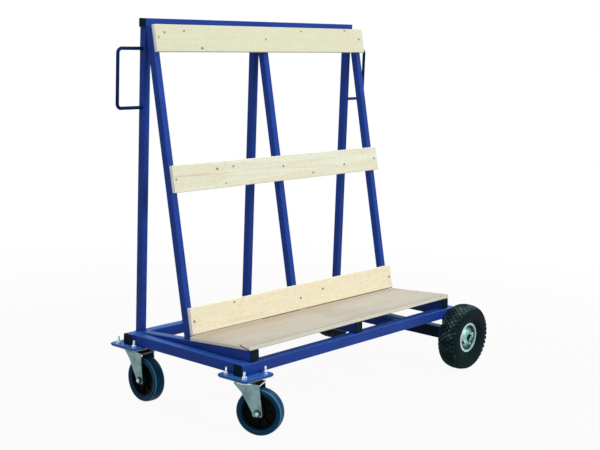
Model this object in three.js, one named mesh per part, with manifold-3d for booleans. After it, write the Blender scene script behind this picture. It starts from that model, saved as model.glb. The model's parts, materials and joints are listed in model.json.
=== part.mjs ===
// Sheet goods cart: a welded tube frame on two swivel castors and two pneumatic wheels,
// with a sloping plywood deck and three pine boards screwed to leaning legs.
// Millimetres, +Z up. X runs along the cart from the castors to the pneumatic wheels,
// Y from the loading side to the back.

import * as THREE from 'three';
import { mergeVertices } from 'three/addons/utils/BufferGeometryUtils.js';
import Module from 'manifold-3d';

const wasm = await Module();
wasm.setup();

// Base frame
const BASE_LENGTH = 1256;
const BASE_DEPTH = 568;
const BASE_TUBE = 38;
const BASE_WALL = 2;
const BASE_CORNER = 4;
const RAIL_BOTTOM = 206;
const MIDDLE_CROSS_X = 908;
const END_CROSS_GAP = 2;
const PLUG_FLANGE = 4;
const PLUG_INSERT = 14;

// Uprights and top rail
const UPRIGHT_TUBE = 26;
const UPRIGHT_WALL = 2;
const UPRIGHT_CORNER = 1;
const UPRIGHT_LEFT_INSET = 70;
const UPRIGHT_RIGHT_INSET = 64;
const POST_SHIFT = [0, -6.5, -6];
const LEG_SHIFT = [0, -4, 0];
const TOP_RAIL_TUBE = 30;
const TOP_RAIL_UNDERSIDE = 1312;
const LEAN_ANGLE = THREE.MathUtils.degToRad(11.8);

// Handles
const HANDLE_ROD = 12;
const HANDLE_REACH = 111;
const HANDLE_HEIGHT = 202;
const HANDLE_TOP_DROP = 72.5;
const HANDLE_BEND = 16;
const HANDLE_STEP = 12;

// Deck and its bearers
const BEARER_FRONT_SETBACK = 5;
const BEARER_REAR_LIFT = 1;
const DECK_LENGTH = 1170;
const DECK_THICKNESS = 15;
const DECK_START = 45;

// Boards on the legs
const BOARD_LENGTH = 1156;
const BOARD_WIDTH = 94;
const BOARD_THICKNESS = 15;
const BOARD_START = 61;
const BOARD_EDGE = 1.5;
const TOP_BOARD_DROP = 38;
const BOARD_SPACING = 483;

// Castors
const CASTOR_WHEEL = 160;
const CASTOR_TREAD = 46;
const CASTOR_CORE = 119;
const CASTOR_TRAIL = 50;
const CASTOR_INSET_X = 57;
const CASTOR_INSET_FRONT = 28;
const CASTOR_INSET_REAR = 12;
const CASTOR_YAW_FRONT = THREE.MathUtils.degToRad(-67);
const CASTOR_YAW_REAR = THREE.MathUtils.degToRad(-94);
const PAD_LENGTH = 146;
const PAD_WIDTH = 130;
const PAD_INSET_X = 44;
const PAD_INSET_Y = 22;
const PAD_THICKNESS = 6;
const PAD_CORNER = 14;
const TOP_PLATE_INSET = 3;
const TOP_PLATE_THICKNESS = 4;
const STUD_SPACING_X = 102;
const STUD_SPACING_Y = 80;
const STUD_DIAMETER = 8;
const STUD_RISE = 25;
const STUD_CLEARANCE = 0.5;
const SEAL_DIAMETER = 76;
const SEAL_HEIGHT = 15;
const KINGPIN_DIAMETER = 20;
const KINGPIN_HEAD = 30;
const KINGPIN_HEAD_HEIGHT = 8;
const CROWN_THICKNESS = 5;
const RACE_DIAMETER = 66;
const RACE_HEIGHT = 3;
const FORK_PLATE = 4;
const FORK_TIP_WIDTH = 34;
const FORK_TIP_DROP = 12;
const FORK_TIP_CORNER = 8;
const FORK_REACH = 6;
const FORK_BACK_FLARE = 34;
const FORK_WAIST_BACK = 8;
const FORK_WAIST_DROP = 26;
const FORK_FRONT_OVERLAP = 4;
const AXLE_BOLT = 12;
const AXLE_BOLT_HEAD = 21;
const AXLE_BOLT_HEAD_HEIGHT = 7;
const BEARING_DIAMETER = 22;
const CORE_HUB_DIAMETER = 50;
const CORE_WEB = 14;
const CORE_RIM_WALL = 7;
const TYRE_SHOULDER = 9;
const TYRE_CROWN_DROP = 7;

// Pneumatic wheels
const ROAD_WHEEL = 260;
const ROAD_TYRE_WIDTH = 82;
const ROAD_TYRE_WALL = 7;
const ROAD_RIM_FLANGE = 118;
const ROAD_RIM_SEAT = 102;
const ROAD_RIM_WIDTH = 56;
const ROAD_RIM_STEEL = 3;
const ROAD_DISC_FACE = 20;
const ROAD_DISC_DIAMETER = 80;
const ROAD_GROOVE_FACE = 10;
const ROAD_HUB_DIAMETER = 30;
const ROAD_HUB_OUTER_END = 33;
const ROAD_HUB_COLLAR = 50;
const ROAD_HUB_COLLAR_WIDTH = 8;
const ROAD_AXLE = 16;
const ROAD_AXLE_PROUD = 8;
const ROAD_WHEEL_GAP = 2;
const AXLE_BEAM_TUBE = 46;
const AXLE_BEAM_WALL = 3;
const AXLE_BOSS_LENGTH = 40;

// Gaps between pieces that fit together
const WELD_GAP = 0.3;
const FIT_GAP = 0.3;
const RUNNING_GAP = 0.3;

// Facets on round shapes
const CORNER_STEPS = 1;
const WHEEL_STEPS = 28;
const ROUND_STEPS = 16;
const ROD_STEPS = 8;

// Sizes that follow from the ones above
const RAIL_TOP = RAIL_BOTTOM + BASE_TUBE;
const FRONT_RAIL_Y = BASE_TUBE / 2;
const REAR_RAIL_Y = BASE_DEPTH - BASE_TUBE / 2;
const RAIL_MIDDLE_Z = RAIL_BOTTOM + BASE_TUBE / 2;
const REAR_RAIL_FACE = BASE_DEPTH - BASE_TUBE;
const LEFT_UPRIGHT_X = UPRIGHT_LEFT_INSET;
const RIGHT_UPRIGHT_X = BASE_LENGTH - UPRIGHT_RIGHT_INSET;
const UPRIGHT_X = [LEFT_UPRIGHT_X, (LEFT_UPRIGHT_X + RIGHT_UPRIGHT_X) / 2, RIGHT_UPRIGHT_X];
const POST_X = UPRIGHT_X.map((x, i) => x + POST_SHIFT[i]);
const LEG_X = UPRIGHT_X.map((x, i) => x + LEG_SHIFT[i]);
const POST_Y = BASE_DEPTH - UPRIGHT_TUBE / 2;
const POST_FRONT_FACE = BASE_DEPTH - UPRIGHT_TUBE;
const CROSS_LENGTH = BASE_DEPTH - 2 * BASE_TUBE;
const BEARER_SLOPE = Math.atan2(BASE_TUBE - BEARER_REAR_LIFT, CROSS_LENGTH);
const BEARER_FRONT = -(BASE_TUBE - BEARER_FRONT_SETBACK) / Math.cos(BEARER_SLOPE);
const DECK_RISE = (WELD_GAP + DECK_THICKNESS) / Math.cos(BEARER_SLOPE);
const BOARD_FRONT = -WELD_GAP - BOARD_THICKNESS;
const LEG_FRONT_AT_TOP = POST_FRONT_FACE - WELD_GAP - UPRIGHT_TUBE / Math.cos(LEAN_ANGLE);
const HANDLE_BOTTOM = TOP_RAIL_UNDERSIDE - HANDLE_TOP_DROP - HANDLE_HEIGHT;
const PAD_BOTTOM = RAIL_BOTTOM - PAD_THICKNESS;
const TOP_PLATE_BOTTOM = PAD_BOTTOM - TOP_PLATE_THICKNESS;
const SEAL_BOTTOM = TOP_PLATE_BOTTOM - SEAL_HEIGHT;
const RACE_TOP = SEAL_BOTTOM - RUNNING_GAP;
const CROWN_TOP = RACE_TOP - RACE_HEIGHT;
const CROWN_BOTTOM = CROWN_TOP - CROWN_THICKNESS;
const FORK_INSIDE = CASTOR_TREAD / 2 + 4;
const FORK_OUTSIDE = FORK_INSIDE + FORK_PLATE;
const CASTOR_AXLE_Z = CASTOR_WHEEL / 2;
const ROAD_AXLE_Z = ROAD_WHEEL / 2;
const ROAD_WHEEL_OFFSET = ROAD_TYRE_WIDTH / 2 + ROAD_WHEEL_GAP;

const LABELS = ['left', 'middle', 'right'];

const FINISHES = {
  paint: { color: 0x23449a, roughness: 0.38, metalness: 0.1 },
  plastic: { color: 0x14181a, roughness: 0.5, metalness: 0 },
  plywood: { color: 0xcabfa8, roughness: 0.75, metalness: 0 },
  pine: { color: 0xe9ddb8, roughness: 0.7, metalness: 0 },
  zinc: { color: 0x9fb0ab, roughness: 0.35, metalness: 0.9 },
  seal: { color: 0x5a2018, roughness: 0.6, metalness: 0 },
  rubber: { color: 0x17191b, roughness: 0.85, metalness: 0 },
  castorRubber: { color: 0x1d4560, roughness: 0.55, metalness: 0 },
  core: { color: 0x0c0d0f, roughness: 0.45, metalness: 0 },
};

function finish(name) {
  return new THREE.MeshStandardMaterial(FINISHES[name]);
}

function piece(name, geometry, finishName) {
  const mesh = new THREE.Mesh(geometry, finish(finishName));
  mesh.name = name;
  return mesh;
}

// Solids are joined and cut on meshes whose shared vertices are merged.
function toSolid(geometry, place = new THREE.Matrix4()) {
  const bare = geometry.clone().applyMatrix4(place);
  bare.deleteAttribute('normal');
  bare.deleteAttribute('uv');
  const merged = mergeVertices(bare, 1e-4);
  return new wasm.Manifold(new wasm.Mesh({
    numProp: 3,
    vertProperties: merged.attributes.position.array,
    triVerts: new Uint32Array(merged.index.array),
  }));
}

function toGeometry(solid) {
  const mesh = solid.getMesh();
  const geometry = new THREE.BufferGeometry();
  geometry.setAttribute('position', new THREE.BufferAttribute(new Float32Array(mesh.vertProperties), 3));
  geometry.setIndex(new THREE.BufferAttribute(new Uint32Array(mesh.triVerts), 1));
  geometry.computeVertexNormals();
  return geometry;
}

function shifted(x, y, z) {
  return new THREE.Matrix4().makeTranslation(x, y, z);
}

function roundedRectangle(Path, width, height, radius) {
  const x = width / 2;
  const y = height / 2;
  const path = new Path();
  path.moveTo(-x + radius, -y);
  path.lineTo(x - radius, -y);
  path.absarc(x - radius, -y + radius, radius, -Math.PI / 2, 0, false);
  path.lineTo(x, y - radius);
  path.absarc(x - radius, y - radius, radius, 0, Math.PI / 2, false);
  path.lineTo(-x + radius, y);
  path.absarc(-x + radius, y - radius, radius, Math.PI / 2, Math.PI, false);
  path.lineTo(-x, -y + radius);
  path.absarc(-x + radius, -y + radius, radius, Math.PI, Math.PI * 1.5, false);
  return path;
}

function rectangle(Path, width, height) {
  const path = new Path();
  path.moveTo(-width / 2, -height / 2);
  path.lineTo(width / 2, -height / 2);
  path.lineTo(width / 2, height / 2);
  path.lineTo(-width / 2, height / 2);
  path.closePath();
  return path;
}

function extruded(shape, depth, curveSegments = CORNER_STEPS) {
  return new THREE.ExtrudeGeometry(shape, { depth, bevelEnabled: false, curveSegments });
}

const SQUARE_END = () => 0;

// A square tube along +Z. Each cut moves the points of that end along the tube.
function tube(size, wall, corner, length, startCut = SQUARE_END, endCut = SQUARE_END) {
  const section = roundedRectangle(THREE.Shape, size, size, corner);
  section.holes.push(rectangle(THREE.Path, size - 2 * wall, size - 2 * wall));
  const geometry = extruded(section, length);
  const points = geometry.attributes.position;
  for (let i = 0; i < points.count; i += 1) {
    const [x, y, z] = [points.getX(i), points.getY(i), points.getZ(i)];
    const cut = z < length / 2 ? startCut : endCut;
    points.setZ(i, z + cut(x, y));
  }
  geometry.computeVertexNormals();
  return geometry;
}

function baseTube(length, startCut, endCut) {
  return tube(BASE_TUBE, BASE_WALL, BASE_CORNER, length, startCut, endCut);
}

function uprightTube(length, startCut, endCut) {
  return tube(UPRIGHT_TUBE, UPRIGHT_WALL, UPRIGHT_CORNER, length, startCut, endCut);
}

// A geometry built along +Z is turned to run along +X or +Y.
function alongX(mesh, x, y, z) {
  mesh.rotation.y = Math.PI / 2;
  mesh.position.set(x, y, z);
  return mesh;
}

function alongY(mesh, x, y, z) {
  mesh.rotation.x = -Math.PI / 2;
  mesh.position.set(x, y, z);
  return mesh;
}

// A push-in tube plug: a flange that covers the tube end, and a foot inside the bore.
// It points along +Z, with the flange's inner face at 0.
function plug(name, size, wall, corner) {
  const bore = size - 2 * wall - 2 * FIT_GAP;
  const flange = toSolid(extruded(roundedRectangle(THREE.Shape, size, size, corner), PLUG_FLANGE));
  const overlap = PLUG_FLANGE / 2;
  const foot = toSolid(extruded(rectangle(THREE.Shape, bore, bore), PLUG_INSERT + overlap));
  return piece(name, toGeometry(flange.add(foot.translate(0, 0, -PLUG_INSERT))), 'plastic');
}

function basePlug(name) {
  return plug(name, BASE_TUBE, BASE_WALL, BASE_CORNER);
}

function turned(profile, steps = ROUND_STEPS) {
  const geometry = new THREE.LatheGeometry(profile.map(([r, z]) => new THREE.Vector2(r, z)), steps);
  return geometry.rotateX(Math.PI / 2);
}

function ring(inner, outer, bottom, top, steps = ROUND_STEPS) {
  return turned([[inner, bottom], [outer, bottom], [outer, top], [inner, top], [inner, bottom]], steps);
}

function disc(radius, bottom, top, steps = ROUND_STEPS) {
  return turned([[0, bottom], [radius, bottom], [radius, top], [0, top]], steps);
}

// Base frame: two rails, three cross tubes and their plugs
function baseFrame() {
  const group = new THREE.Group();
  const railLength = BASE_LENGTH - 2 * PLUG_FLANGE;
  for (const [side, y] of [['front', FRONT_RAIL_Y], ['rear', REAR_RAIL_Y]]) {
    const rail = piece(`${side}_rail`, baseTube(railLength), 'paint');
    const leftPlug = basePlug(`${side}_rail_plug_left`);
    const rightPlug = basePlug(`${side}_rail_plug_right`);
    group.add(alongX(rail, PLUG_FLANGE, y, RAIL_MIDDLE_Z));
    group.add(alongX(rightPlug, BASE_LENGTH - PLUG_FLANGE, y, RAIL_MIDDLE_Z));
    group.add(alongX(leftPlug, PLUG_FLANGE, y, RAIL_MIDDLE_Z));
    leftPlug.rotation.y = -Math.PI / 2;
  }
  const besideBearer = BASE_TUBE + END_CROSS_GAP;
  const crossX = [LEFT_UPRIGHT_X - besideBearer, MIDDLE_CROSS_X, RIGHT_UPRIGHT_X + besideBearer];
  crossX.forEach((x, i) => {
    const cross = piece(`${LABELS[i]}_cross_tube`, baseTube(CROSS_LENGTH), 'paint');
    group.add(alongY(cross, x, BASE_TUBE, RAIL_MIDDLE_Z));
  });
  return group;
}

// Height of the bearers' upper faces at a place along y
function bearerTopAt(y) {
  const bottom = RAIL_TOP + (BASE_TUBE - y) * Math.tan(BEARER_SLOPE);
  return bottom + BASE_TUBE / Math.cos(BEARER_SLOPE);
}

// Height along the leaning legs at which the line y meets a plane lying above the bearers
function rackHeightAt(y, rise) {
  const [sin, cos, fall] = [Math.sin(LEAN_ANGLE), Math.cos(LEAN_ANGLE), Math.tan(BEARER_SLOPE)];
  const drop = bearerTopAt(LEG_FRONT_AT_TOP) + rise - TOP_RAIL_UNDERSIDE;
  return (drop + y * (sin - cos * fall)) / (cos + sin * fall);
}

// Distance down the slope to the line where the boards' front plane meets the deck's top
function boardLineOnDeck() {
  const height = rackHeightAt(BOARD_FRONT, DECK_RISE);
  const [sin, cos] = [Math.sin(LEAN_ANGLE), Math.cos(LEAN_ANGLE)];
  const y = LEG_FRONT_AT_TOP + BOARD_FRONT * cos + height * sin;
  const z = TOP_RAIL_UNDERSIDE - BOARD_FRONT * sin + height * cos;
  return (y - BASE_TUBE) * Math.cos(BEARER_SLOPE) - (z - RAIL_TOP) * Math.sin(BEARER_SLOPE);
}

// Deck and bearers share a frame that slopes down to the back. Its origin is on the front rail's
// back top edge, y runs down the slope and z stands square to it.
function slopingDeck() {
  const group = new THREE.Group();
  group.position.set(0, BASE_TUBE, RAIL_TOP);
  group.rotation.x = -BEARER_SLOPE;
  const rear = (REAR_RAIL_FACE - WELD_GAP - BASE_TUBE) / Math.cos(BEARER_SLOPE);
  const bearerMiddle = BASE_TUBE / 2;
  const rearCut = (x, y) => -(bearerMiddle - y) * Math.tan(BEARER_SLOPE);
  const bearerFront = BEARER_FRONT + PLUG_FLANGE;
  UPRIGHT_X.forEach((x, i) => {
    const bearer = piece(`deck_bearer_${LABELS[i]}`, baseTube(rear - bearerFront, SQUARE_END, rearCut), 'paint');
    const cap = basePlug(`bearer_plug_${LABELS[i]}`);
    group.add(alongY(bearer, x, bearerFront, bearerMiddle));
    group.add(alongY(cap, x, bearerFront, bearerMiddle));
    cap.rotation.x = Math.PI / 2;
  });
  const deckDepth = boardLineOnDeck() - FIT_GAP - BEARER_FRONT;
  const deck = piece('deck_panel', new THREE.BoxGeometry(DECK_LENGTH, deckDepth, DECK_THICKNESS), 'plywood');
  const deckHeight = BASE_TUBE + WELD_GAP + DECK_THICKNESS / 2;
  deck.position.set(DECK_START + DECK_LENGTH / 2, BEARER_FRONT + deckDepth / 2, deckHeight);
  group.add(deck);
  return group;
}

// Legs and boards share a frame that leans back. Its origin is where the legs' front faces meet
// the top rail's underside, y runs into the legs and z up along them.
function leaningRack() {
  const group = new THREE.Group();
  group.position.set(0, LEG_FRONT_AT_TOP, TOP_RAIL_UNDERSIDE);
  group.rotation.x = -LEAN_ANGLE;
  const footAt = (y) => rackHeightAt(y, WELD_GAP);
  const headAt = (y) => y * Math.tan(LEAN_ANGLE) - WELD_GAP / Math.cos(LEAN_ANGLE);
  const middle = UPRIGHT_TUBE / 2;
  const [foot, head] = [footAt(middle), headAt(middle)];
  const footCut = (x, y) => footAt(middle + y) - foot;
  const headCut = (x, y) => headAt(middle + y) - head;
  LEG_X.forEach((x, i) => {
    const leg = piece(`leaning_leg_${LABELS[i]}`, uprightTube(head - foot, footCut, headCut), 'paint');
    leg.position.set(x, middle, foot);
    group.add(leg);
  });
  const boardHeights = {
    top_board: -TOP_BOARD_DROP,
    middle_board: -TOP_BOARD_DROP - BOARD_SPACING,
    bottom_board: rackHeightAt(BOARD_FRONT, DECK_RISE) + FIT_GAP + BOARD_WIDTH / 2,
  };
  const section = roundedRectangle(THREE.Shape, BOARD_WIDTH, BOARD_THICKNESS, BOARD_EDGE);
  for (const [name, height] of Object.entries(boardHeights)) {
    const board = piece(name, extruded(section, BOARD_LENGTH), 'pine');
    group.add(alongX(board, BOARD_START, BOARD_FRONT + BOARD_THICKNESS / 2, height));
  }
  return group;
}

function rearPosts() {
  const group = new THREE.Group();
  POST_X.forEach((x, i) => {
    const post = piece(`rear_post_${LABELS[i]}`, uprightTube(TOP_RAIL_UNDERSIDE - RAIL_TOP), 'paint');
    post.position.set(x, POST_Y, RAIL_TOP);
    group.add(post);
  });
  return group;
}

function topRail() {
  const group = new THREE.Group();
  const start = POST_X[0] - UPRIGHT_TUBE / 2;
  const length = POST_X[2] - POST_X[0] + UPRIGHT_TUBE;
  const z = TOP_RAIL_UNDERSIDE + TOP_RAIL_TUBE / 2;
  const rail = piece('top_rail', tube(TOP_RAIL_TUBE, UPRIGHT_WALL, UPRIGHT_CORNER, length), 'paint');
  const leftPlug = plug('top_rail_plug_left', TOP_RAIL_TUBE, UPRIGHT_WALL, UPRIGHT_CORNER);
  const rightPlug = plug('top_rail_plug_right', TOP_RAIL_TUBE, UPRIGHT_WALL, UPRIGHT_CORNER);
  group.add(alongX(rail, start, POST_Y, z));
  group.add(alongX(rightPlug, start + length, POST_Y, z));
  group.add(alongX(leftPlug, start, POST_Y, z));
  leftPlug.rotation.y = -Math.PI / 2;
  return group;
}

// A bent rod handle in the XZ plane, reaching along +X from the post's face at x = 0
function handle(name) {
  const [reach, top, bend] = [HANDLE_REACH, HANDLE_HEIGHT, HANDLE_BEND];
  const straight = (a, b) => new THREE.LineCurve3(new THREE.Vector3(...a), new THREE.Vector3(...b));
  const corner = (a, b, c) => new THREE.QuadraticBezierCurve3(
    new THREE.Vector3(...a), new THREE.Vector3(...b), new THREE.Vector3(...c));
  const path = new THREE.CurvePath();
  path.add(straight([WELD_GAP, 0, 0], [reach - bend, 0, 0]));
  path.add(corner([reach - bend, 0, 0], [reach, 0, 0], [reach, 0, bend]));
  path.add(straight([reach, 0, bend], [reach, 0, top - bend]));
  path.add(corner([reach, 0, top - bend], [reach, 0, top], [reach - bend, 0, top]));
  path.add(straight([reach - bend, 0, top], [WELD_GAP, 0, top]));
  const section = new THREE.Shape().absarc(0, 0, HANDLE_ROD / 2, 0, 2 * Math.PI, false);
  const steps = Math.round(path.getLength() / HANDLE_STEP);
  const options = { steps, extrudePath: path, bevelEnabled: false, curveSegments: ROD_STEPS / 2 };
  return piece(name, new THREE.ExtrudeGeometry(section, options), 'paint');
}

function handles() {
  const group = new THREE.Group();
  const left = handle('handle_left');
  const right = handle('handle_right');
  left.position.set(POST_X[0] - UPRIGHT_TUBE / 2, POST_Y, HANDLE_BOTTOM);
  left.rotation.z = Math.PI;
  right.position.set(POST_X[2] + UPRIGHT_TUBE / 2, POST_Y, HANDLE_BOTTOM);
  group.add(left, right);
  return group;
}

// Stud places on a castor plate, about its middle
function studPlaces() {
  const [x, y] = [STUD_SPACING_X / 2, STUD_SPACING_Y / 2];
  return [[-x, -y], [x, -y], [x, y], [-x, y]];
}

function plateShape(inset) {
  const [length, width] = [PAD_LENGTH - 2 * inset, PAD_WIDTH - 2 * inset];
  return roundedRectangle(THREE.Shape, length, width, PAD_CORNER - inset);
}

// The painted pad welded under a base corner, with clearance holes for the castor's studs
function castorPad(name) {
  const shape = plateShape(0);
  for (const [x, y] of studPlaces()) {
    const hole = new THREE.Path();
    hole.absarc(x, y, STUD_DIAMETER / 2 + STUD_CLEARANCE, 0, 2 * Math.PI, true);
    shape.holes.push(hole);
  }
  const pad = piece(name, extruded(shape, PAD_THICKNESS, ROD_STEPS / 2), 'paint');
  pad.position.z = PAD_BOTTOM;
  return pad;
}

// The castor's own plate with its four pressed-in studs
function castorTopPlate(name) {
  let solid = toSolid(extruded(plateShape(TOP_PLATE_INSET), TOP_PLATE_THICKNESS - WELD_GAP, ROD_STEPS / 2));
  const studTop = TOP_PLATE_THICKNESS + PAD_THICKNESS + STUD_RISE;
  const stud = toSolid(disc(STUD_DIAMETER / 2, TOP_PLATE_THICKNESS / 2, studTop, ROD_STEPS));
  for (const [x, y] of studPlaces()) {
    solid = solid.add(stud.translate(x, y, 0));
  }
  const plate = piece(name, toGeometry(solid), 'zinc');
  plate.position.z = TOP_PLATE_BOTTOM;
  return plate;
}

function castorSeal(name) {
  const inner = KINGPIN_DIAMETER / 2 + RUNNING_GAP;
  return piece(name, ring(inner, SEAL_DIAMETER / 2, SEAL_BOTTOM, TOP_PLATE_BOTTOM - FIT_GAP), 'seal');
}

function castorKingpin(name) {
  const [shaft, head] = [KINGPIN_DIAMETER / 2, KINGPIN_HEAD / 2];
  const headTop = CROWN_BOTTOM - RUNNING_GAP;
  const headBottom = headTop - KINGPIN_HEAD_HEIGHT;
  const top = TOP_PLATE_BOTTOM - FIT_GAP;
  const profile = [[0, headBottom], [head, headBottom], [head, headTop], [shaft, headTop], [shaft, top], [0, top]];
  return piece(name, turned(profile), 'zinc');
}

// Side outline of a fork leg: x along the trail from the swivel axis, y as height
function forkLegShape() {
  const tip = CASTOR_TRAIL;
  const axle = CASTOR_AXLE_Z;
  const [half, radius, bottom] = [FORK_TIP_WIDTH / 2, FORK_TIP_CORNER, CASTOR_AXLE_Z - FORK_TIP_DROP];
  const shape = new THREE.Shape();
  shape.moveTo(tip + half, axle);
  shape.lineTo(tip + FORK_FRONT_OVERLAP, CROWN_BOTTOM);
  shape.lineTo(tip + FORK_FRONT_OVERLAP, CROWN_TOP);
  shape.lineTo(-FORK_BACK_FLARE, CROWN_TOP);
  shape.lineTo(-FORK_BACK_FLARE, CROWN_BOTTOM);
  shape.lineTo(-FORK_WAIST_BACK, CROWN_BOTTOM - FORK_WAIST_DROP);
  shape.lineTo(tip - half, axle);
  shape.absarc(tip - half + radius, bottom + radius, radius, Math.PI, Math.PI * 1.5, false);
  shape.absarc(tip + half - radius, bottom + radius, radius, Math.PI * 1.5, Math.PI * 2, false);
  shape.closePath();
  return shape;
}

// Pressed fork: a flat crown with the lower race raised on it, and two legs
function castorFork(name) {
  const reach = CASTOR_TRAIL + FORK_REACH;
  const back = RACE_DIAMETER / 2;
  const upright = new THREE.Matrix4().makeRotationX(Math.PI / 2);
  const kingpinBore = KINGPIN_DIAMETER / 2 + RUNNING_GAP;
  const crownBox = new THREE.BoxGeometry(reach, 2 * FORK_OUTSIDE, CROWN_THICKNESS);
  const crownMiddle = CROWN_TOP - CROWN_THICKNESS / 2;
  const leg = toSolid(extruded(forkLegShape(), FORK_PLATE, ROD_STEPS / 2), upright);
  const axleHole = toSolid(disc(AXLE_BOLT / 2 + FIT_GAP, -2 * FORK_OUTSIDE, 2 * FORK_OUTSIDE), upright);
  const bore = toSolid(disc(kingpinBore, CROWN_BOTTOM - CROWN_THICKNESS, RACE_TOP + CROWN_THICKNESS));
  let solid = toSolid(crownBox, shifted(reach / 2, 0, crownMiddle));
  solid = solid.add(toSolid(disc(back, CROWN_BOTTOM, RACE_TOP, ROUND_STEPS)));
  solid = solid.add(leg.translate(0, FORK_OUTSIDE, 0));
  solid = solid.add(leg.translate(0, -FORK_INSIDE, 0));
  solid = solid.subtract(bore);
  solid = solid.subtract(axleHole.translate(CASTOR_TRAIL, 0, CASTOR_AXLE_Z));
  return piece(name, toGeometry(solid), 'zinc');
}

// Through bolt with a hexagon head and nut outside the fork legs, along +Z about its middle
function castorAxleBolt(name) {
  const end = FORK_OUTSIDE + WELD_GAP + AXLE_BOLT_HEAD_HEIGHT;
  const headStart = FORK_OUTSIDE + WELD_GAP;
  const overlap = AXLE_BOLT_HEAD_HEIGHT / 2;
  const headRadius = AXLE_BOLT_HEAD / 2;
  const shaft = toSolid(disc(AXLE_BOLT / 2, -headStart - overlap, headStart + overlap));
  const head = toSolid(disc(headRadius, headStart, end, 6));
  const nut = toSolid(disc(headRadius, -end, -headStart, 6));
  return piece(name, toGeometry(shaft.add(head).add(nut)), 'zinc');
}

function castorBearing(name) {
  const half = FORK_INSIDE - FIT_GAP;
  return piece(name, ring(AXLE_BOLT / 2 + RUNNING_GAP, BEARING_DIAMETER / 2, -half, half), 'zinc');
}

function castorCore(name) {
  const half = CASTOR_TREAD / 2;
  const hubHalf = half + 2;
  const rimHalf = half - TYRE_SHOULDER / 2;
  const bore = BEARING_DIAMETER / 2 + FIT_GAP;
  const [hub, rim, outer] = [CORE_HUB_DIAMETER / 2, CASTOR_CORE / 2 - CORE_RIM_WALL, CASTOR_CORE / 2];
  const side = [[hub, hubHalf], [hub, CORE_WEB / 2], [rim, CORE_WEB / 2], [rim, rimHalf], [outer, rimHalf]];
  const otherSide = side.map(([r, z]) => [r, -z]);
  const profile = [[bore, -hubHalf], ...otherSide, ...side.reverse(), [bore, hubHalf], [bore, -hubHalf]];
  return piece(name, turned(profile, WHEEL_STEPS), 'core');
}

function castorTyre(name) {
  const half = CASTOR_TREAD / 2;
  const seat = CASTOR_CORE / 2 + FIT_GAP;
  const tread = CASTOR_WHEEL / 2;
  const crown = half - TYRE_SHOULDER;
  const side = [[seat, half - TYRE_SHOULDER / 2], [seat + TYRE_CROWN_DROP, half],
    [tread - TYRE_CROWN_DROP, half], [tread, crown]];
  const otherSide = side.map(([r, z]) => [r, -z]);
  const profile = [...otherSide, ...side.reverse(), otherSide[0]];
  return piece(name, turned(profile, WHEEL_STEPS), 'castorRubber');
}

// A castor at (CASTOR_INSET_X, y). Its plates are centred on the pad's own place.
function castor(side, y, padY, yaw) {
  const group = new THREE.Group();
  group.position.set(CASTOR_INSET_X, y, 0);
  for (const plate of [castorPad(`castor_pad_${side}`), castorTopPlate(`castor_top_plate_${side}`)]) {
    plate.position.x = PAD_INSET_X - CASTOR_INSET_X;
    plate.position.y = padY - y;
    group.add(plate);
  }
  group.add(castorSeal(`castor_seal_${side}`));
  group.add(castorKingpin(`castor_kingpin_${side}`));
  const swivel = new THREE.Group();
  swivel.rotation.z = yaw;
  swivel.add(castorFork(`castor_fork_${side}`));
  const wheel = [
    castorAxleBolt(`castor_axle_bolt_${side}`),
    castorBearing(`castor_bearing_${side}`),
    castorCore(`castor_core_${side}`),
    castorTyre(`castor_tyre_${side}`),
  ];
  wheel.forEach((part) => swivel.add(alongY(part, CASTOR_TRAIL, 0, CASTOR_AXLE_Z)));
  group.add(swivel);
  return group;
}

// Axle beam under the right end, on two hangers that step out from the rails
function axleBeam() {
  const group = new THREE.Group();
  const beam = piece('axle_beam', tube(AXLE_BEAM_TUBE, AXLE_BEAM_WALL, BASE_CORNER, BASE_DEPTH), 'paint');
  group.add(alongY(beam, BASE_LENGTH, 0, ROAD_AXLE_Z));
  const top = RAIL_BOTTOM;
  const bottom = ROAD_AXLE_Z + AXLE_BEAM_TUBE / 2;
  const beamHalf = AXLE_BEAM_TUBE / 2;
  const outline = new THREE.Shape();
  outline.moveTo(BASE_LENGTH - BASE_TUBE, top);
  outline.lineTo(BASE_LENGTH - beamHalf, bottom);
  outline.lineTo(BASE_LENGTH + beamHalf, bottom);
  outline.lineTo(BASE_LENGTH, top);
  outline.closePath();
  for (const [side, y] of [['front', BASE_TUBE], ['rear', BASE_DEPTH]]) {
    const hanger = piece(`axle_hanger_${side}`, extruded(outline, BASE_TUBE), 'paint');
    hanger.rotation.x = Math.PI / 2;
    hanger.position.y = y;
    group.add(hanger);
  }
  return group;
}

// Stub axle along +Z: a square boss inside the beam's end, and the shaft that carries the wheel
function stubAxle(name) {
  const boss = AXLE_BEAM_TUBE - 2 * AXLE_BEAM_WALL - 2 * FIT_GAP;
  const shaftEnd = ROAD_WHEEL_OFFSET + ROAD_HUB_OUTER_END + ROAD_AXLE_PROUD;
  const block = toSolid(extruded(rectangle(THREE.Shape, boss, boss), AXLE_BOSS_LENGTH));
  const shaft = toSolid(disc(ROAD_AXLE / 2, -AXLE_BOSS_LENGTH / 2, shaftEnd));
  return piece(name, toGeometry(block.translate(0, 0, -AXLE_BOSS_LENGTH).add(shaft)), 'zinc');
}

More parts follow.
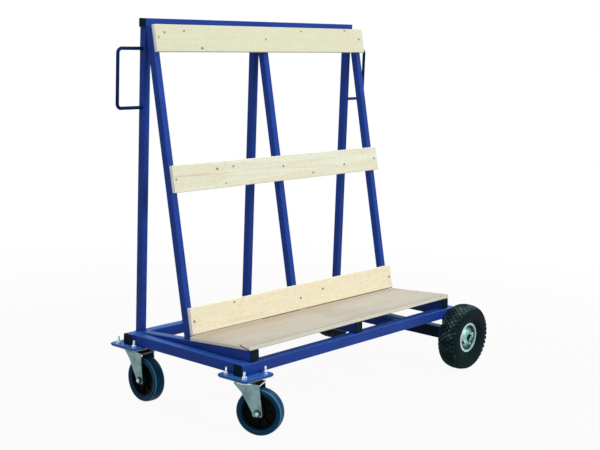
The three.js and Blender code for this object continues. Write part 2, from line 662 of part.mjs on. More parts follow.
// Black hub with its end collars, along +Z about the wheel's middle
function roadHub(name) {
  const bore = ROAD_AXLE / 2 + RUNNING_GAP;
  const [barrel, collar] = [ROAD_HUB_DIAMETER / 2, ROAD_HUB_COLLAR / 2];
  const inner = -ROAD_WHEEL_OFFSET + ROAD_WHEEL_GAP / 2;
  const outer = ROAD_HUB_OUTER_END;
  const collarFace = ROAD_DISC_FACE - ROAD_RIM_STEEL - FIT_GAP;
  const collarBack = collarFace - ROAD_HUB_COLLAR_WIDTH;
  const profile = [[bore, inner], [barrel, inner], [barrel, collarBack], [collar, collarBack],
    [collar, collarFace], [barrel, collarFace], [barrel, outer], [bore, outer], [bore, inner]];
  return piece(name, turned(profile), 'plastic');
}

// Pressed rim: a barrel between two flanges, closed by a raised disc that the hub's collar carries
function roadRim(name) {
  const half = ROAD_RIM_WIDTH / 2;
  const steel = ROAD_RIM_STEEL;
  const [flange, seat] = [ROAD_RIM_FLANGE / 2, ROAD_RIM_SEAT / 2];
  const bore = ROAD_HUB_DIAMETER / 2 + FIT_GAP;
  const disc = ROAD_DISC_DIAMETER / 2;
  const [face, groove] = [ROAD_DISC_FACE, ROAD_GROOVE_FACE];
  const profile = [[bore, face - steel], [disc, face - steel], [seat - steel, groove - steel],
    [seat - steel, -half], [flange, -half], [flange, -half + steel], [seat, -half + steel],
    [seat, half - steel], [flange, half - steel], [flange, half], [seat - steel, half],
    [seat - steel, groove], [disc, face], [bore, face], [bore, face - steel]];
  return piece(name, turned(profile, WHEEL_STEPS), 'zinc');
}

// Tyre carcass, open towards the rim like the real one
function roadTyre(name) {
  const tread = ROAD_WHEEL / 2;
  const half = ROAD_TYRE_WIDTH / 2;
  const seat = ROAD_RIM_SEAT / 2 + FIT_GAP;
  const bead = ROAD_RIM_WIDTH / 2 - ROAD_RIM_STEEL - FIT_GAP;
  const flange = ROAD_RIM_FLANGE / 2 + FIT_GAP;
  const wall = ROAD_TYRE_WALL;
  const belly = (tread + flange) / 2;
  const shoulder = tread - wall;
  const outside = [[seat, bead], [flange, bead], [belly - wall, half], [belly + wall, half],
    [shoulder, half - wall], [tread, half / 2]];
  const inside = [[tread - wall, half / 2], [belly, half - wall], [seat, bead - wall]];
  const mirrored = (points) => points.map(([r, z]) => [r, -z]);
  const profile = [...mirrored(outside), ...outside.slice().reverse(), ...inside.slice().reverse(),
    ...mirrored(inside), mirrored(outside)[0]];
  return piece(name, turned(profile, WHEEL_STEPS), 'rubber');
}

// A pneumatic wheel on its stub axle. Each is built along +Z, outwards from the beam's end.
function roadWheel(side) {
  const group = new THREE.Group();
  group.position.set(BASE_LENGTH, side === 'front' ? 0 : BASE_DEPTH, ROAD_AXLE_Z);
  group.rotation.x = side === 'front' ? Math.PI / 2 : -Math.PI / 2;
  group.add(stubAxle(`stub_axle_${side}`));
  const parts = [roadHub(`road_hub_${side}`), roadRim(`road_rim_${side}`), roadTyre(`road_tyre_${side}`)];
  parts.forEach((part) => {
    part.position.z = ROAD_WHEEL_OFFSET;
    group.add(part);
  });
  return group;
}

const cart = new THREE.Group();
cart.add(baseFrame(), slopingDeck(), leaningRack(), rearPosts(), topRail(), handles());
cart.add(castor('front', CASTOR_INSET_FRONT, PAD_INSET_Y, CASTOR_YAW_FRONT));
cart.add(castor('rear', BASE_DEPTH - CASTOR_INSET_REAR, BASE_DEPTH - PAD_INSET_Y, CASTOR_YAW_REAR));
cart.add(axleBeam(), roadWheel('front'), roadWheel('rear'));

// The origin is on the floor, under the middle of the cart's box.
cart.updateMatrixWorld(true);
const box = new THREE.Box3().setFromObject(cart, true);
cart.position.set(-(box.min.x + box.max.x) / 2, -(box.min.y + box.max.y) / 2, -box.min.z);

export default cart;
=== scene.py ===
"""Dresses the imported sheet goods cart: finer meshes, finishes, fixings, studio and camera.

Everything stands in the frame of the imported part: +X runs from the castors to the pneumatic wheels,
+Y from the loading side to the back, +Z up. Blender works in metres. The sizes of pieces are held in
millimetres and multiplied by MM where they are used.

In the finishes, cells are a noise's cells to the metre, a span is where its effect sets in and where it is
full, a share is how much of a colour it then mixes in, and a rim is such a span in millimetres.
"""

import json
import logging
import math
from collections.abc import Callable, Sequence
from dataclasses import dataclass, field
from enum import StrEnum

import bmesh
import bpy
from bmesh.types import BMesh
from bpy.types import ID, Material, Mesh, MeshPolygon, NodeSocket, NodeTree, Object
from mathutils import Matrix, Vector


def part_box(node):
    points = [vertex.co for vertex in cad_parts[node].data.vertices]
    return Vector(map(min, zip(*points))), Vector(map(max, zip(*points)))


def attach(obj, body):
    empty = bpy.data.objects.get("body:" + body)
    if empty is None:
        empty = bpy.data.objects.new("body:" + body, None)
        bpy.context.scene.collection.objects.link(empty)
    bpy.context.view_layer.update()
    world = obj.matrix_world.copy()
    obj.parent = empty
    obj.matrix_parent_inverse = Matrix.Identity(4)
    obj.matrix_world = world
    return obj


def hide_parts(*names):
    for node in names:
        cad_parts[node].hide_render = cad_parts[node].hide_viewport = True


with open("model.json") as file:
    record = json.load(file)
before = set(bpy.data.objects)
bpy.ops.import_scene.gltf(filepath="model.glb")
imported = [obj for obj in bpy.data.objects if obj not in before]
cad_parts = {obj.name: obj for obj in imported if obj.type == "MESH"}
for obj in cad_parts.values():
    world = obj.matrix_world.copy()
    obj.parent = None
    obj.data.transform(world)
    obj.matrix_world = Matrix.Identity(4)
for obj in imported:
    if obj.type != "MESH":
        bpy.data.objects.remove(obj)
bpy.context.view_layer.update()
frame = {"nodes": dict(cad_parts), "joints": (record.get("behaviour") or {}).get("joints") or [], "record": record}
LOG = logging.getLogger("sheet_goods_cart")
MM = 0.001
FULL_TURN = 2 * math.pi
THIRDS = ("left", "middle", "right")

Pair = tuple[float, float]
Triple = tuple[float, float, float]
Colour = tuple[float, float, float, float]
Profile = Sequence[Pair]  # radius and height of each point
Turning = tuple[Profile, int]  # a profile, and its facets round the axis
TreadRow = tuple[float, float, float, float]  # offset, radius, lean and start
FaceTest = Callable[[MeshPolygon], bool]

WHITE: Colour = (1.0, 1.0, 1.0, 1.0)


class Side(StrEnum):
    """The two sides of the cart, seen from the loading side."""

    FRONT = "front"
    REAR = "rear"


def srgb(*levels: int) -> Colour:
    """Converts an 8-bit sRGB colour to the linear colour that a shader takes.

    Args:
        *levels: Red, green and blue, each 0 to 255.

    Returns:
        The linear colour with full alpha.
    """
    shares = [level / 255 for level in levels]
    red, green, blue = (s / 12.92 if s <= 0.04045 else ((s + 0.055) / 1.055) ** 2.4 for s in shares)
    return red, green, blue, 1.0


class NodeGraph:
    """A node tree that is built a node at a time."""

    def __init__(self, tree: NodeTree) -> None:
        """Takes hold of a tree's nodes and links."""
        self.nodes = tree.nodes
        self.links = tree.links

    def join(self, socket: NodeSocket, value: object) -> None:
        """Links a socket to another one, or sets it to a plain value.

        Args:
            socket: The input socket.
            value: An output socket, a number, a vector or a colour.
        """
        if isinstance(value, NodeSocket):
            self.links.new(value, socket)
        else:
            socket.default_value = value

    def add(
        self, kind: str, inputs: dict[str | int, object] | None = None, **settings: object
    ) -> Sequence[NodeSocket]:
        """Adds a node.

        Args:
            kind: Blender's name for the type of node.
            inputs: What its sockets are joined to, by name or number.
            **settings: Its other properties, which are set first.

        Returns:
            Its output sockets.
        """
        node = self.nodes.new(kind)
        for name, value in settings.items():
            setattr(node, name, value)
        for key, value in (inputs or {}).items():
            self.join(node.inputs[key], value)
        return node.outputs

    def math(self, operation: str, first: object, second: object = 0.0) -> NodeSocket:
        """The result of a math node."""
        return self.add("ShaderNodeMath", {0: first, 1: second}, operation=operation)[0]

    def mix(self, factor: object, first: object, second: object) -> NodeSocket:
        """Mixes a share of a second colour into a first one."""
        return self.add("ShaderNodeMix", {0: factor, 6: first, 7: second}, data_type="RGBA")[2]

    def span(
        self, value: object, start: float, end: float, low: float = 0.0, high: float = 1.0
    ) -> NodeSocket:
        """Maps start and end smoothly to low and high, and holds the value beyond them."""
        inputs = {"Value": value, "From Min": start, "From Max": end, "To Min": low, "To Max": high}
        return self.add("ShaderNodeMapRange", inputs, interpolation_type="SMOOTHSTEP")["Result"]

    def seen(self) -> tuple[NodeSocket, NodeSocket]:
        """Tells which rays show a surface rather than light it.

        Returns:
            1 for rays from the camera and mirrored ones, and 1 for mirrored ones alone.
        """
        path = self.add("ShaderNodeLightPath")
        mirrored = self.math("MAXIMUM", path["Is Glossy Ray"], path["Is Transmission Ray"])
        return self.math("MAXIMUM", path["Is Camera Ray"], mirrored), mirrored


class ShaderTree(NodeGraph):
    """A material on Object coordinates."""

    def __init__(self, name: str) -> None:
        """Starts a material with its Principled shader.

        Args:
            name: The material's name.
        """
        self.material = bpy.data.materials.new(name)
        self.material.use_nodes = True
        super().__init__(self.material.node_tree)
        self.bsdf = self.nodes["Principled BSDF"]
        self.position = self.add("ShaderNodeTexCoord")["Object"]

    def mapped(
        self,
        scale: Sequence[float] = (1, 1, 1),
        turn: Sequence[float] = (0, 0, 0),
        shift: Sequence[float] = (0, 0, 0),
        vector: NodeSocket | None = None,
    ) -> NodeSocket:
        """Scales, turns and then shifts a position, by default the Object coordinate."""
        inputs = {"Vector": vector or self.position, "Scale": scale, "Rotation": turn, "Location": shift}
        return self.add("ShaderNodeMapping", inputs)["Vector"]

    def board(self, middle: Vector, turn: float) -> NodeSocket:
        """Position from the middle of a board that is turned about X, along its own sides."""
        turned = Matrix.Rotation(turn, 3, "X")
        return self.mapped(turn=(turn, 0, 0), shift=-(turned @ middle))

    def noise(
        self, vector: NodeSocket, cells: float, octaves: float = 4.0, bend: float = 0.0
    ) -> NodeSocket:
        """Fractal noise from 0 to 1, with a number of cells to the unit, bent by itself."""
        inputs = {"Vector": vector, "Scale": cells, "Detail": octaves, "Distortion": bend}
        return self.add("ShaderNodeTexNoise", inputs)["Fac"]

    def ramp(self, factor: object, *stops: tuple[float, Colour]) -> NodeSocket:
        """A colour ramp.

        Args:
            factor: Where the ramp is read.
            *stops: Position and colour of each stop, in order.

        Returns:
            The ramp's colour.
        """
        node = self.nodes.new("ShaderNodeValToRGB")
        elements = node.color_ramp.elements
        while len(elements) < len(stops):
            elements.new(1.0)
        for element, (place, colour) in zip(elements, stops, strict=True):
            element.position = place
            element.color = colour
        self.join(node.inputs["Fac"], factor)
        return node.outputs["Color"]

    def split(self, vector: NodeSocket) -> Sequence[NodeSocket]:
        """The x, y and z of a vector."""
        return self.add("ShaderNodeSeparateXYZ", {0: vector})

    def combine(self, *parts: object) -> NodeSocket:
        """A vector from its x, y and z."""
        return self.add("ShaderNodeCombineXYZ", dict(enumerate(parts)))[0]

    def bump(self, height: NodeSocket, depth: float, strength: float) -> None:
        """Gives the shader a bump of a depth in millimetres."""
        inputs = {"Strength": strength, "Distance": depth * MM, "Height": height}
        self.join(self.bsdf.inputs["Normal"], self.add("ShaderNodeBump", inputs)["Normal"])

    def surface(
        self, colour: object, roughness: object, metallic: float = 0.0, specular: float = 0.5
    ) -> Material:
        """Sets the shader's main sockets.

        Args:
            colour: Base colour.
            roughness: Roughness.
            metallic: Metallic share.
            specular: Specular level.

        Returns:
            The finished material.
        """
        names = ("Base Color", "Roughness", "Metallic", "Specular IOR Level")
        for name, value in zip(names, (colour, roughness, metallic, specular), strict=True):
            self.join(self.bsdf.inputs[name], value)
        return self.material


@dataclass(frozen=True)
class PowderCoat:
    """Blue powder coat: cloudy, with a fine orange peel, rubbed specks, and paler faces that look up: painted top
    light with a dusty film.
    """

    name: str = "blue_powder_coat"
    colour: Colour = srgb(32, 67, 156)
    deep: Colour = srgb(30, 61, 144)
    scuff: Colour = srgb(52, 92, 170)
    dust: Colour = srgb(70, 150, 215)
    specular: float = 0.1
    cloud_cells: float = 9.0
    cloud_span: Pair = (0.35, 0.65)
    rub_cells: float = 160.0
    rub_span: Pair = (0.68, 0.8)
    rub_share: float = 0.35
    dust_span: Pair = (0.7, 0.96)
    dust_share: float = 0.12
    peel_cells: float = 700.0
    peel_depth: float = 0.12
    gloss_span: Pair = (0.3, 0.75)
    gloss: Pair = (0.3, 0.46)

    def material(self) -> Material:
        """Builds the finish.

        Returns:
            The material.
        """
        tree = ShaderTree(self.name)
        cloud = tree.noise(tree.position, self.cloud_cells, octaves=3.0)
        colour = tree.mix(tree.span(cloud, *self.cloud_span), self.colour, self.deep)
        rub = tree.noise(tree.position, self.rub_cells, octaves=6.0, bend=0.6)
        colour = tree.mix(tree.span(rub, *self.rub_span, 0.0, self.rub_share), colour, self.scuff)
        # Painted light: faces that look up mix towards a paler blue, as if lit from above, with a little dusting
        # too.
        rise = tree.split(tree.add("ShaderNodeNewGeometry")["Normal"])[2]
        colour = tree.mix(tree.span(rise, *self.dust_span, 0.0, self.dust_share), colour, self.dust)
        tree.bump(tree.noise(tree.position, self.peel_cells, octaves=2.0), self.peel_depth, strength=0.5)
        roughness = tree.span(rub, *self.gloss_span, *self.gloss)
        return tree.surface(colour, roughness, specular=self.specular)


@dataclass(frozen=True)
class MouldedPlastic:
    """Moulded plastic or rubber with a fine spark texture and paler patches: a dusting, which on the tread blocks
    is also a painted highlight.
    """

    name: str
    colour: Colour
    dust: Colour
    roughness: float
    grain_cells: float = 900.0
    dust_share: float = 0.3
    specular: float = 0.1
    patch_cells: float = 22.0
    patch_span: Pair = (0.45, 0.75)
    wear_span: Pair = (0.3, 0.7)
    wear: float = 0.15
    grain_depth: float = 0.15

    def material(self) -> Material:
        """Builds the finish.

        Returns:
            The material.
        """
        tree = ShaderTree(self.name)
        patch = tree.noise(tree.position, self.patch_cells, octaves=5.0, bend=0.4)
        share = tree.span(patch, *self.patch_span, 0.0, self.dust_share)
        colour = tree.mix(share, self.colour, self.dust)
        roughness = tree.span(patch, *self.wear_span, self.roughness, self.roughness + self.wear)
        tree.bump(tree.noise(tree.position, self.grain_cells, octaves=3.0), self.grain_depth, strength=0.6)
        return tree.surface(colour, roughness, specular=self.specular)


@dataclass(frozen=True)
class ZincPlate:
    """Zinc-plated steel with the cool bloom and the faint spangle of pressed parts."""

    name: str
    colour: Colour
    bloom: Colour
    roughness: float
    bloom_cells: float = 26.0
    bloom_span: Pair = (0.35, 0.7)
    spangle_cells: float = 420.0
    spangle_span: Pair = (0.4, 0.75)
    spangle_share: float = 0.25
    spangle_depth: float = 0.08
    wear_span: Pair = (0.3, 0.75)
    wear: Pair = (-0.06, 0.12)

    def material(self) -> Material:
        """Builds the finish.

        Returns:
            The material.
        """
        tree = ShaderTree(self.name)
        bloom = tree.noise(tree.position, self.bloom_cells, octaves=5.0, bend=0.5)
        spangle = tree.noise(tree.position, self.spangle_cells, octaves=3.0)
        colour = tree.mix(tree.span(bloom, *self.bloom_span), self.colour, self.bloom)
        share = tree.span(spangle, *self.spangle_span, 0.0, self.spangle_share)
        colour = tree.mix(share, colour, self.bloom)
        roughness = tree.span(bloom, *self.wear_span, *(self.roughness + change for change in self.wear))
        tree.bump(spangle, self.spangle_depth, strength=0.4)
        return tree.surface(colour, roughness, metallic=1.0)


@dataclass(frozen=True)
class Board:
    """What tells one board from another: its tones, knots and screws, and the painted shade at its foot."""

    pale: Colour
    streak: Colour
    figure: float
    knots: tuple[Triple, ...]
    screws: tuple[Pair, ...]
    foot: float = 0.0


@dataclass(frozen=True)
class Pine:
    """Planed pine, its grain along X and bent round its own knots."""

    name: str
    board: Board
    middle: Vector
    lean: float
    seed: float
    late: Colour = srgb(214, 190, 146)
    knot: Colour = srgb(112, 92, 66)
    grime: Colour = srgb(112, 96, 72)
    sawn: Colour = srgb(255, 254, 244)
    half_width: float = 47.0
    half_length: float = 578.0
    grain_stretch: Triple = (0.9, 14.0, 26.0)
    grain_cells: float = 1.6
    grain_stops: tuple[float, ...] = (0.36, 0.52, 0.57, 0.72)
    fine_stretch: Triple = (2.0, 6.0, 9.0)
    fine_cells: float = 3.0
    fine_span: Pair = (0.45, 0.75)
    fine_share: float = 0.4
    fine_depth: float = 0.15
    mottle_stretch: Triple = (0.5, 1.0, 1.0)
    mottle_cells: float = 110.0
    mottle_span: Pair = (0.48, 0.66)
    mottle_share: float = 0.22
    knot_stretch: float = 0.7
    knot_reach: float = 7.0
    knot_bend: float = 1.6
    knot_rim: Pair = (0.55, 1.25)
    knot_share: float = 0.85
    grime_rim: Pair = (2.6, 4.0)
    sawn_rim: Pair = (1.2, 0.4)
    wear_span: Pair = (0.3, 0.7)
    wear: Pair = (0.55, 0.72)
    specular: float = 0.3

    def material(self) -> Material:
        """Builds the finish.

        Returns:
            The material.
        """
        tree = ShaderTree(self.name)
        pale, streak = self.board.pale, self.board.streak
        place = tree.board(self.middle, self.lean)
        x, depth, height = tree.split(place)
        rise, dark = self.knotted(tree, x, height)
        parts = zip((x, depth, rise), self.grain_stretch, strict=True)
        grain = tree.combine(*(tree.math("MULTIPLY", part, stretch) for part, stretch in parts))
        grain = tree.mapped(shift=(self.seed, self.seed, 0), vector=grain)
        broad = tree.noise(grain, self.grain_cells, octaves=5.0, bend=0.35)
        fine = tree.noise(tree.mapped(scale=self.fine_stretch, vector=grain), self.fine_cells)
        stops = zip(self.grain_stops, (pale, streak, pale, self.late), strict=True)
        colour = tree.mix(self.board.figure, pale, tree.ramp(broad, *stops))
        colour = tree.mix(tree.span(fine, *self.fine_span, 0.0, self.fine_share), colour, streak)
        cells = tree.mapped(scale=self.mottle_stretch, vector=place)
        mottle = tree.noise(cells, self.mottle_cells, octaves=3.0, bend=0.3)
        share = tree.span(mottle, *self.mottle_span, 0.0, self.mottle_share)
        colour = tree.mix(share, colour, self.late)
        colour = tree.mix(dark, colour, self.knot)
        foot = [(rim - self.half_width) * MM for rim in self.grime_rim]
        # Painted shade: the board darkens along its lower edge, where the gap to the deck is in shadow.
        colour = tree.mix(tree.span(height, *foot, self.board.foot, 0.0), colour, self.grime)
        # Painted light: the board's ends are near white, as if lit from the side.
        end = [(self.half_length - rim) * MM for rim in self.sawn_rim]
        colour = tree.mix(tree.span(tree.math("ABSOLUTE", x), *end), colour, self.sawn)
        tree.bump(fine, self.fine_depth, strength=0.5)
        roughness = tree.span(fine, *self.wear_span, *self.wear)
        return tree.surface(colour, roughness, specular=self.specular)

    def knotted(self, tree: ShaderTree, x: NodeSocket, rise: NodeSocket) -> tuple[NodeSocket, NodeSocket]:
        """Bends the grain round every knot.

        Args:
            tree: The material's tree.
            x: Position along the board.
            rise: Position across the board.

        Returns:
            The position across the board after the bends, and how much of a knot shows.
        """
        dark: object = 0.0
        for along, across, radius in self.board.knots:
            flat = tree.combine(tree.math("MULTIPLY", x, self.knot_stretch), 0.0, rise)
            centre = (along * MM * self.knot_stretch, 0.0, across * MM)
            gap = tree.add("ShaderNodeVectorMath", {0: flat, 1: centre}, operation="DISTANCE")["Value"]
            size = radius * MM
            bend = tree.span(gap, 0.0, size * self.knot_reach, size * self.knot_bend, 0.0)
            rise = tree.math("ADD", rise, bend)
            shown = tree.span(gap, *(size * rim for rim in self.knot_rim), self.knot_share, 0.0)
            dark = tree.math("MAXIMUM", dark, shown)
        return rise, dark


@dataclass(frozen=True)
class Plywood:
    """Faced plywood: a pinkish face with a long faint figure, plies on its edges, a split at a corner."""

    middle: Vector
    slope: float
    thickness: float
    length: float
    depth: float
    name: str = "deck_plywood"
    face: Colour = srgb(183, 175, 161)
    figure: Colour = srgb(177, 166, 151)
    handled: Colour = srgb(178, 160, 141)
    washed: Colour = srgb(184, 183, 166)
    # The plies are pale, and paler still to paint in the light on the deck's edges.
    long_ply: Colour = srgb(238, 238, 220)
    cross_ply: Colour = srgb(216, 210, 190)
    split: Colour = srgb(34, 32, 26)
    plies: int = 7
    face_ply: Pair = (0.75, 0.65)
    stripe_span: Pair = (0.2, 0.3)
    grain_stretch: Triple = (1.1, 9.0, 1.0)
    grain_cells: float = 2.2
    grain_span: Pair = (0.36, 0.66)
    fine_stretch: Triple = (3.0, 12.0, 1.0)
    fine_cells: float = 4.0
    fine_span: Pair = (0.5, 0.78)
    fine_share: float = 0.3
    fine_depth: float = 0.2
    mottle_cells: float = 46.0
    mottle_span: Pair = (0.42, 0.62)
    mottle_share: float = 0.45
    handled_slant: float = -0.12
    handled_span: Pair = (-0.05, 0.22)
    handled_share: float = 0.7
    split_run: float = 48.0
    split_rim: Pair = (1.2, 1.9)
    split_end: Pair = (2.0, 4.0)
    wear_span: Pair = (0.3, 0.7)
    wear: Pair = (0.6, 0.8)
    specular: float = 0.25

    def material(self) -> Material:
        """Builds the finish.

        Returns:
            The material.
        """
        tree = ShaderTree(self.name)
        sheet = tree.board(self.middle, self.slope)
        x, y, height = tree.split(sheet)
        grain = tree.mapped(scale=self.grain_stretch, vector=sheet)
        broad = tree.noise(grain, self.grain_cells, octaves=6.0, bend=0.5)
        fine = tree.noise(tree.mapped(scale=self.fine_stretch, vector=grain), self.fine_cells)
        face = tree.mix(tree.span(broad, *self.grain_span), self.face, self.figure)
        face = tree.mix(tree.span(fine, *self.fine_span, 0.0, self.fine_share), face, self.figure)
        mottle = tree.noise(sheet, self.mottle_cells, bend=0.3)
        face = tree.mix(tree.span(mottle, *self.mottle_span, 0.0, self.mottle_share), face, self.washed)
        # The face is darker towards the back of the deck.
        back = tree.math("ADD", y, tree.math("MULTIPLY", x, self.handled_slant))
        face = tree.mix(tree.span(back, *self.handled_span, 0.0, self.handled_share), face, self.handled)
        colour = self.edged(tree, height, face)
        colour = tree.mix(self.split_corner(tree, x, y, height), colour, self.split)
        tree.bump(fine, self.fine_depth, strength=0.5)
        roughness = tree.span(fine, *self.wear_span, *self.wear)
        return tree.surface(colour, roughness, specular=self.specular)

    def edged(self, tree: ShaderTree, height: NodeSocket, face: NodeSocket) -> NodeSocket:
        """Shows the plies between the two faces.

        Args:
            tree: The material's tree.
            height: Height above the middle of the sheet.
            face: Colour of the faces.

        Returns:
            The colour of faces and edges.
        """
        half, ply = self.thickness / 2, self.thickness / self.plies
        level = tree.math("DIVIDE", tree.math("ADD", height, half), 2 * ply)
        stripe = tree.span(tree.math("PINGPONG", level, 0.5), *self.stripe_span)
        core = tree.mix(stripe, self.long_ply, self.cross_ply)
        limits = [half - share * ply for share in self.face_ply]
        inside = tree.span(tree.math("ABSOLUTE", height), *limits, 1.0, 0.0)
        return tree.mix(inside, face, core)

    def split_corner(
        self, tree: ShaderTree, x: NodeSocket, y: NodeSocket, height: NodeSocket
    ) -> NodeSocket:
        """Finds the slanting split in the edge of the castors' end.

        Args:
            tree: The material's tree.
            x: Position along the sheet.
            y: Position across the sheet.
            height: Height above the middle of the sheet.

        Returns:
            1 in the split and 0 beside it.
        """
        back = tree.math("ADD", y, self.depth / 2)
        climb = tree.math("MULTIPLY", back, self.thickness / (self.split_run * MM))
        run = tree.math("SUBTRACT", climb, self.thickness / 2)
        gap = tree.math("ABSOLUTE", tree.math("SUBTRACT", height, run))
        near = tree.span(gap, *(rim * MM for rim in self.split_rim), 1.0, 0.0)
        edge = tree.span(x, *(reach * MM - self.length / 2 for reach in self.split_end), 1.0, 0.0)
        return tree.math("MULTIPLY", near, edge)


class Finishes:
    """The finishes that several sub-assemblies share, each built once."""

    def __init__(self) -> None:
        """Builds every shared finish."""
        self.paint = PowderCoat().material()
        # Painted light: a paler copy of the blue coat for the castor pads, whose tops look lit and reflecting.
        self.pad = PowderCoat(
            "pad_lit_powder_coat", srgb(42, 82, 166), srgb(38, 75, 154), srgb(60, 106, 180), srgb(84, 165, 215)
        ).material()
        # A darker copy of the blue coat for the handle rods.
        self.handled = PowderCoat(
            "handled_powder_coat", srgb(2, 36, 88), srgb(2, 30, 76), srgb(20, 62, 120), srgb(60, 120, 160),
            specular=0.06,
        ).material()
        # Painted shade: a near-black copy of the blue coat for the axle beam and its hangers, which sit in shadow
        # under the deck.
        self.grimed = PowderCoat(
            "shaded_powder_coat", srgb(4, 30, 60), srgb(2, 22, 44), srgb(14, 52, 74), srgb(60, 130, 140),
            specular=0.05,
        ).material()
        self.plug = MouldedPlastic(
            "plug_plastic", srgb(8, 26, 30), srgb(20, 46, 52), 0.5, specular=0.06
        ).material()
        self.core = MouldedPlastic(
            "castor_core_plastic", srgb(2, 4, 5), srgb(9, 13, 16), 0.46, specular=0.05
        ).material()
        # Painted highlight: a pale rubber for the ring round the castor tyre's shoulder.
        self.castor_edge = MouldedPlastic(
            "castor_highlight_rubber", srgb(66, 124, 150), srgb(90, 150, 172), 0.4, 500.0
        ).material()
        self.castor_rubber = MouldedPlastic(
            "castor_rubber", srgb(6, 58, 90), srgb(18, 88, 120), 0.4, 500.0, specular=0.07
        ).material()
        self.tyre = MouldedPlastic(
            "tyre_rubber", srgb(4, 22, 26), srgb(26, 56, 62), 0.6, 600.0, specular=0.07
        ).material()
        # The tread blocks are pale in patches: partly dirt on the rubber, partly a painted highlight.
        self.tread = MouldedPlastic(
            "tread_rubber", srgb(18, 38, 40), srgb(100, 124, 124), 0.66, 600.0, 0.7, specular=0.07
        ).material()
        self.seal = MouldedPlastic("seal_plastic", srgb(140, 40, 36), srgb(150, 80, 76), 0.5).material()
        # Painted shade: a near-black finish for the fork's inside, the flat of its crown and the axle bolt's
        # washers.
        self.grease = MouldedPlastic("shaded_black", srgb(12, 20, 20), srgb(34, 44, 42), 0.5).material()
        self.zinc = ZincPlate("pressed_zinc", srgb(128, 152, 153), srgb(100, 125, 126), 0.38).material()
        self.bright = ZincPlate("bright_zinc", srgb(222, 230, 228), srgb(180, 198, 196), 0.26).material()
        # Painted shade: a darker copy of the zinc for the rear castor's crown end and race cup.
        self.dull = ZincPlate("shaded_zinc", srgb(84, 104, 106), srgb(62, 80, 82), 0.4).material()
        self.rim = ZincPlate("rim_zinc", srgb(142, 180, 177), srgb(94, 142, 138), 0.42).material()
        self.screw = ZincPlate("screw_zinc", srgb(150, 146, 132), srgb(112, 108, 98), 0.4).material()


def new_object(name: str, data: ID) -> Object:
    """Links an object into the scene at the origin.

    Args:
        name: The object's name.
        data: Its mesh, lamp or camera.

    Returns:
        The object.
    """
    item = bpy.data.objects.new(name, data)
    bpy.context.scene.collection.objects.link(item)
    return item


def made_plain(item: Object) -> Object:
    """Turns an object's evaluated result into a plain mesh and removes its modifiers.

    Args:
        item: The object.

    Returns:
        The same object.
    """
    graph = bpy.context.evaluated_depsgraph_get()
    result = item.evaluated_get(graph)
    mesh = bpy.data.meshes.new_from_object(result, preserve_all_data_layers=True, depsgraph=graph)
    item.modifiers.clear()
    item.data = mesh
    return item


def smoothed(mesh: Mesh, angle: float = 50.0) -> Mesh:
    """Shades a mesh smooth, apart from edges sharper than an angle.

    Args:
        mesh: The mesh.
        angle: The angle in degrees.

    Returns:
        The same mesh.
    """
    mesh.shade_smooth()
    mesh.set_sharp_from_angle(angle=math.radians(angle))
    return mesh


def mesh_from(name: str, fill: Callable[[BMesh], None]) -> Mesh:
    """Makes a mesh from a function that fills a bmesh.

    Args:
        name: The mesh's name.
        fill: Fills the bmesh.

    Returns:
        The mesh, with its faces pointing out.
    """
    shape = bmesh.new()
    fill(shape)
    bmesh.ops.recalc_face_normals(shape, faces=shape.faces)
    mesh = bpy.data.meshes.new(name)
    shape.to_mesh(mesh)
    shape.free()
    return mesh


def lathe(shape: BMesh, profile: Profile, steps: int) -> None:
    """Turns a profile about Z. It starts and ends on the axis, or closes on itself.

    Args:
        shape: The bmesh to fill.
        profile: Radius and height of each point, in millimetres.
        steps: Facets round the axis.
    """
    closed = profile[0] == profile[-1]
    angles = [FULL_TURN * step / steps for step in range(steps)]
    rings = []
    for radius, height in profile[:-1] if closed else profile:
        if radius == 0:
            rings.append([shape.verts.new((0, 0, height * MM))] * steps)
            continue
        circle = [(radius * MM * math.cos(a), radius * MM * math.sin(a), height * MM) for a in angles]
        rings.append([shape.verts.new(point) for point in circle])
    pairs = list(zip(rings, rings[1:], strict=False))
    if closed:
        pairs.append((rings[-1], rings[0]))
    for low, high in pairs:
        for step in range(steps):
            after = (step + 1) % steps
            corners = list(dict.fromkeys((low[step], low[after], high[after], high[step])))
            if len(corners) > 2:
                shape.faces.new(corners)


def turned_mesh(name: str, *turnings: Turning, angle: float = 35.0) -> Mesh:
    """A smooth mesh of one or more turned profiles.

    Args:
        name: The mesh's name.
        *turnings: Each profile in millimetres, and its facets round the axis.
        angle: Edges sharper than this stay sharp, in degrees.

    Returns:
        The mesh.
    """

    def fill(shape: BMesh) -> None:
        """Turns every profile."""
        for profile, steps in turnings:
            lathe(shape, profile, steps)

    return smoothed(mesh_from(name, fill), angle)


def lower(half: Profile) -> list[Pair]:
    """The lower half of a profile, mirrored in z = 0, from the last point back to the first."""
    return [(radius, -height) for radius, height in reversed(half) if height]


@dataclass(frozen=True)
class Block:
    """A block on z = 0 with rounded edges, its top narrower than its foot by the taper."""

    size: Triple
    bevel: float
    taper: float
    segments: int = 2
    roundness: float = 0.6

    def mesh(self, name: str) -> Mesh:
        """Builds the block.

        Args:
            name: The mesh's name.

        Returns:
            The mesh.
        """
        length, width, height = self.size

        def fill(shape: BMesh) -> None:
            """Shapes a cube and rounds its edges.

            Args:
                shape: The bmesh to fill.
            """
            bmesh.ops.create_cube(shape, size=1.0)
            for corner in shape.verts:
                x, y, z = corner.co
                narrow = self.taper if z > 0 else 1.0
                corner.co = Vector((x * length * narrow, y * width * narrow, (z + 0.5) * height)) * MM
            bmesh.ops.bevel(
                shape, geom=list(shape.edges), offset=self.bevel * MM, segments=self.segments,
                profile=self.roundness, affect="EDGES",
            )

        return smoothed(mesh_from(name, fill))


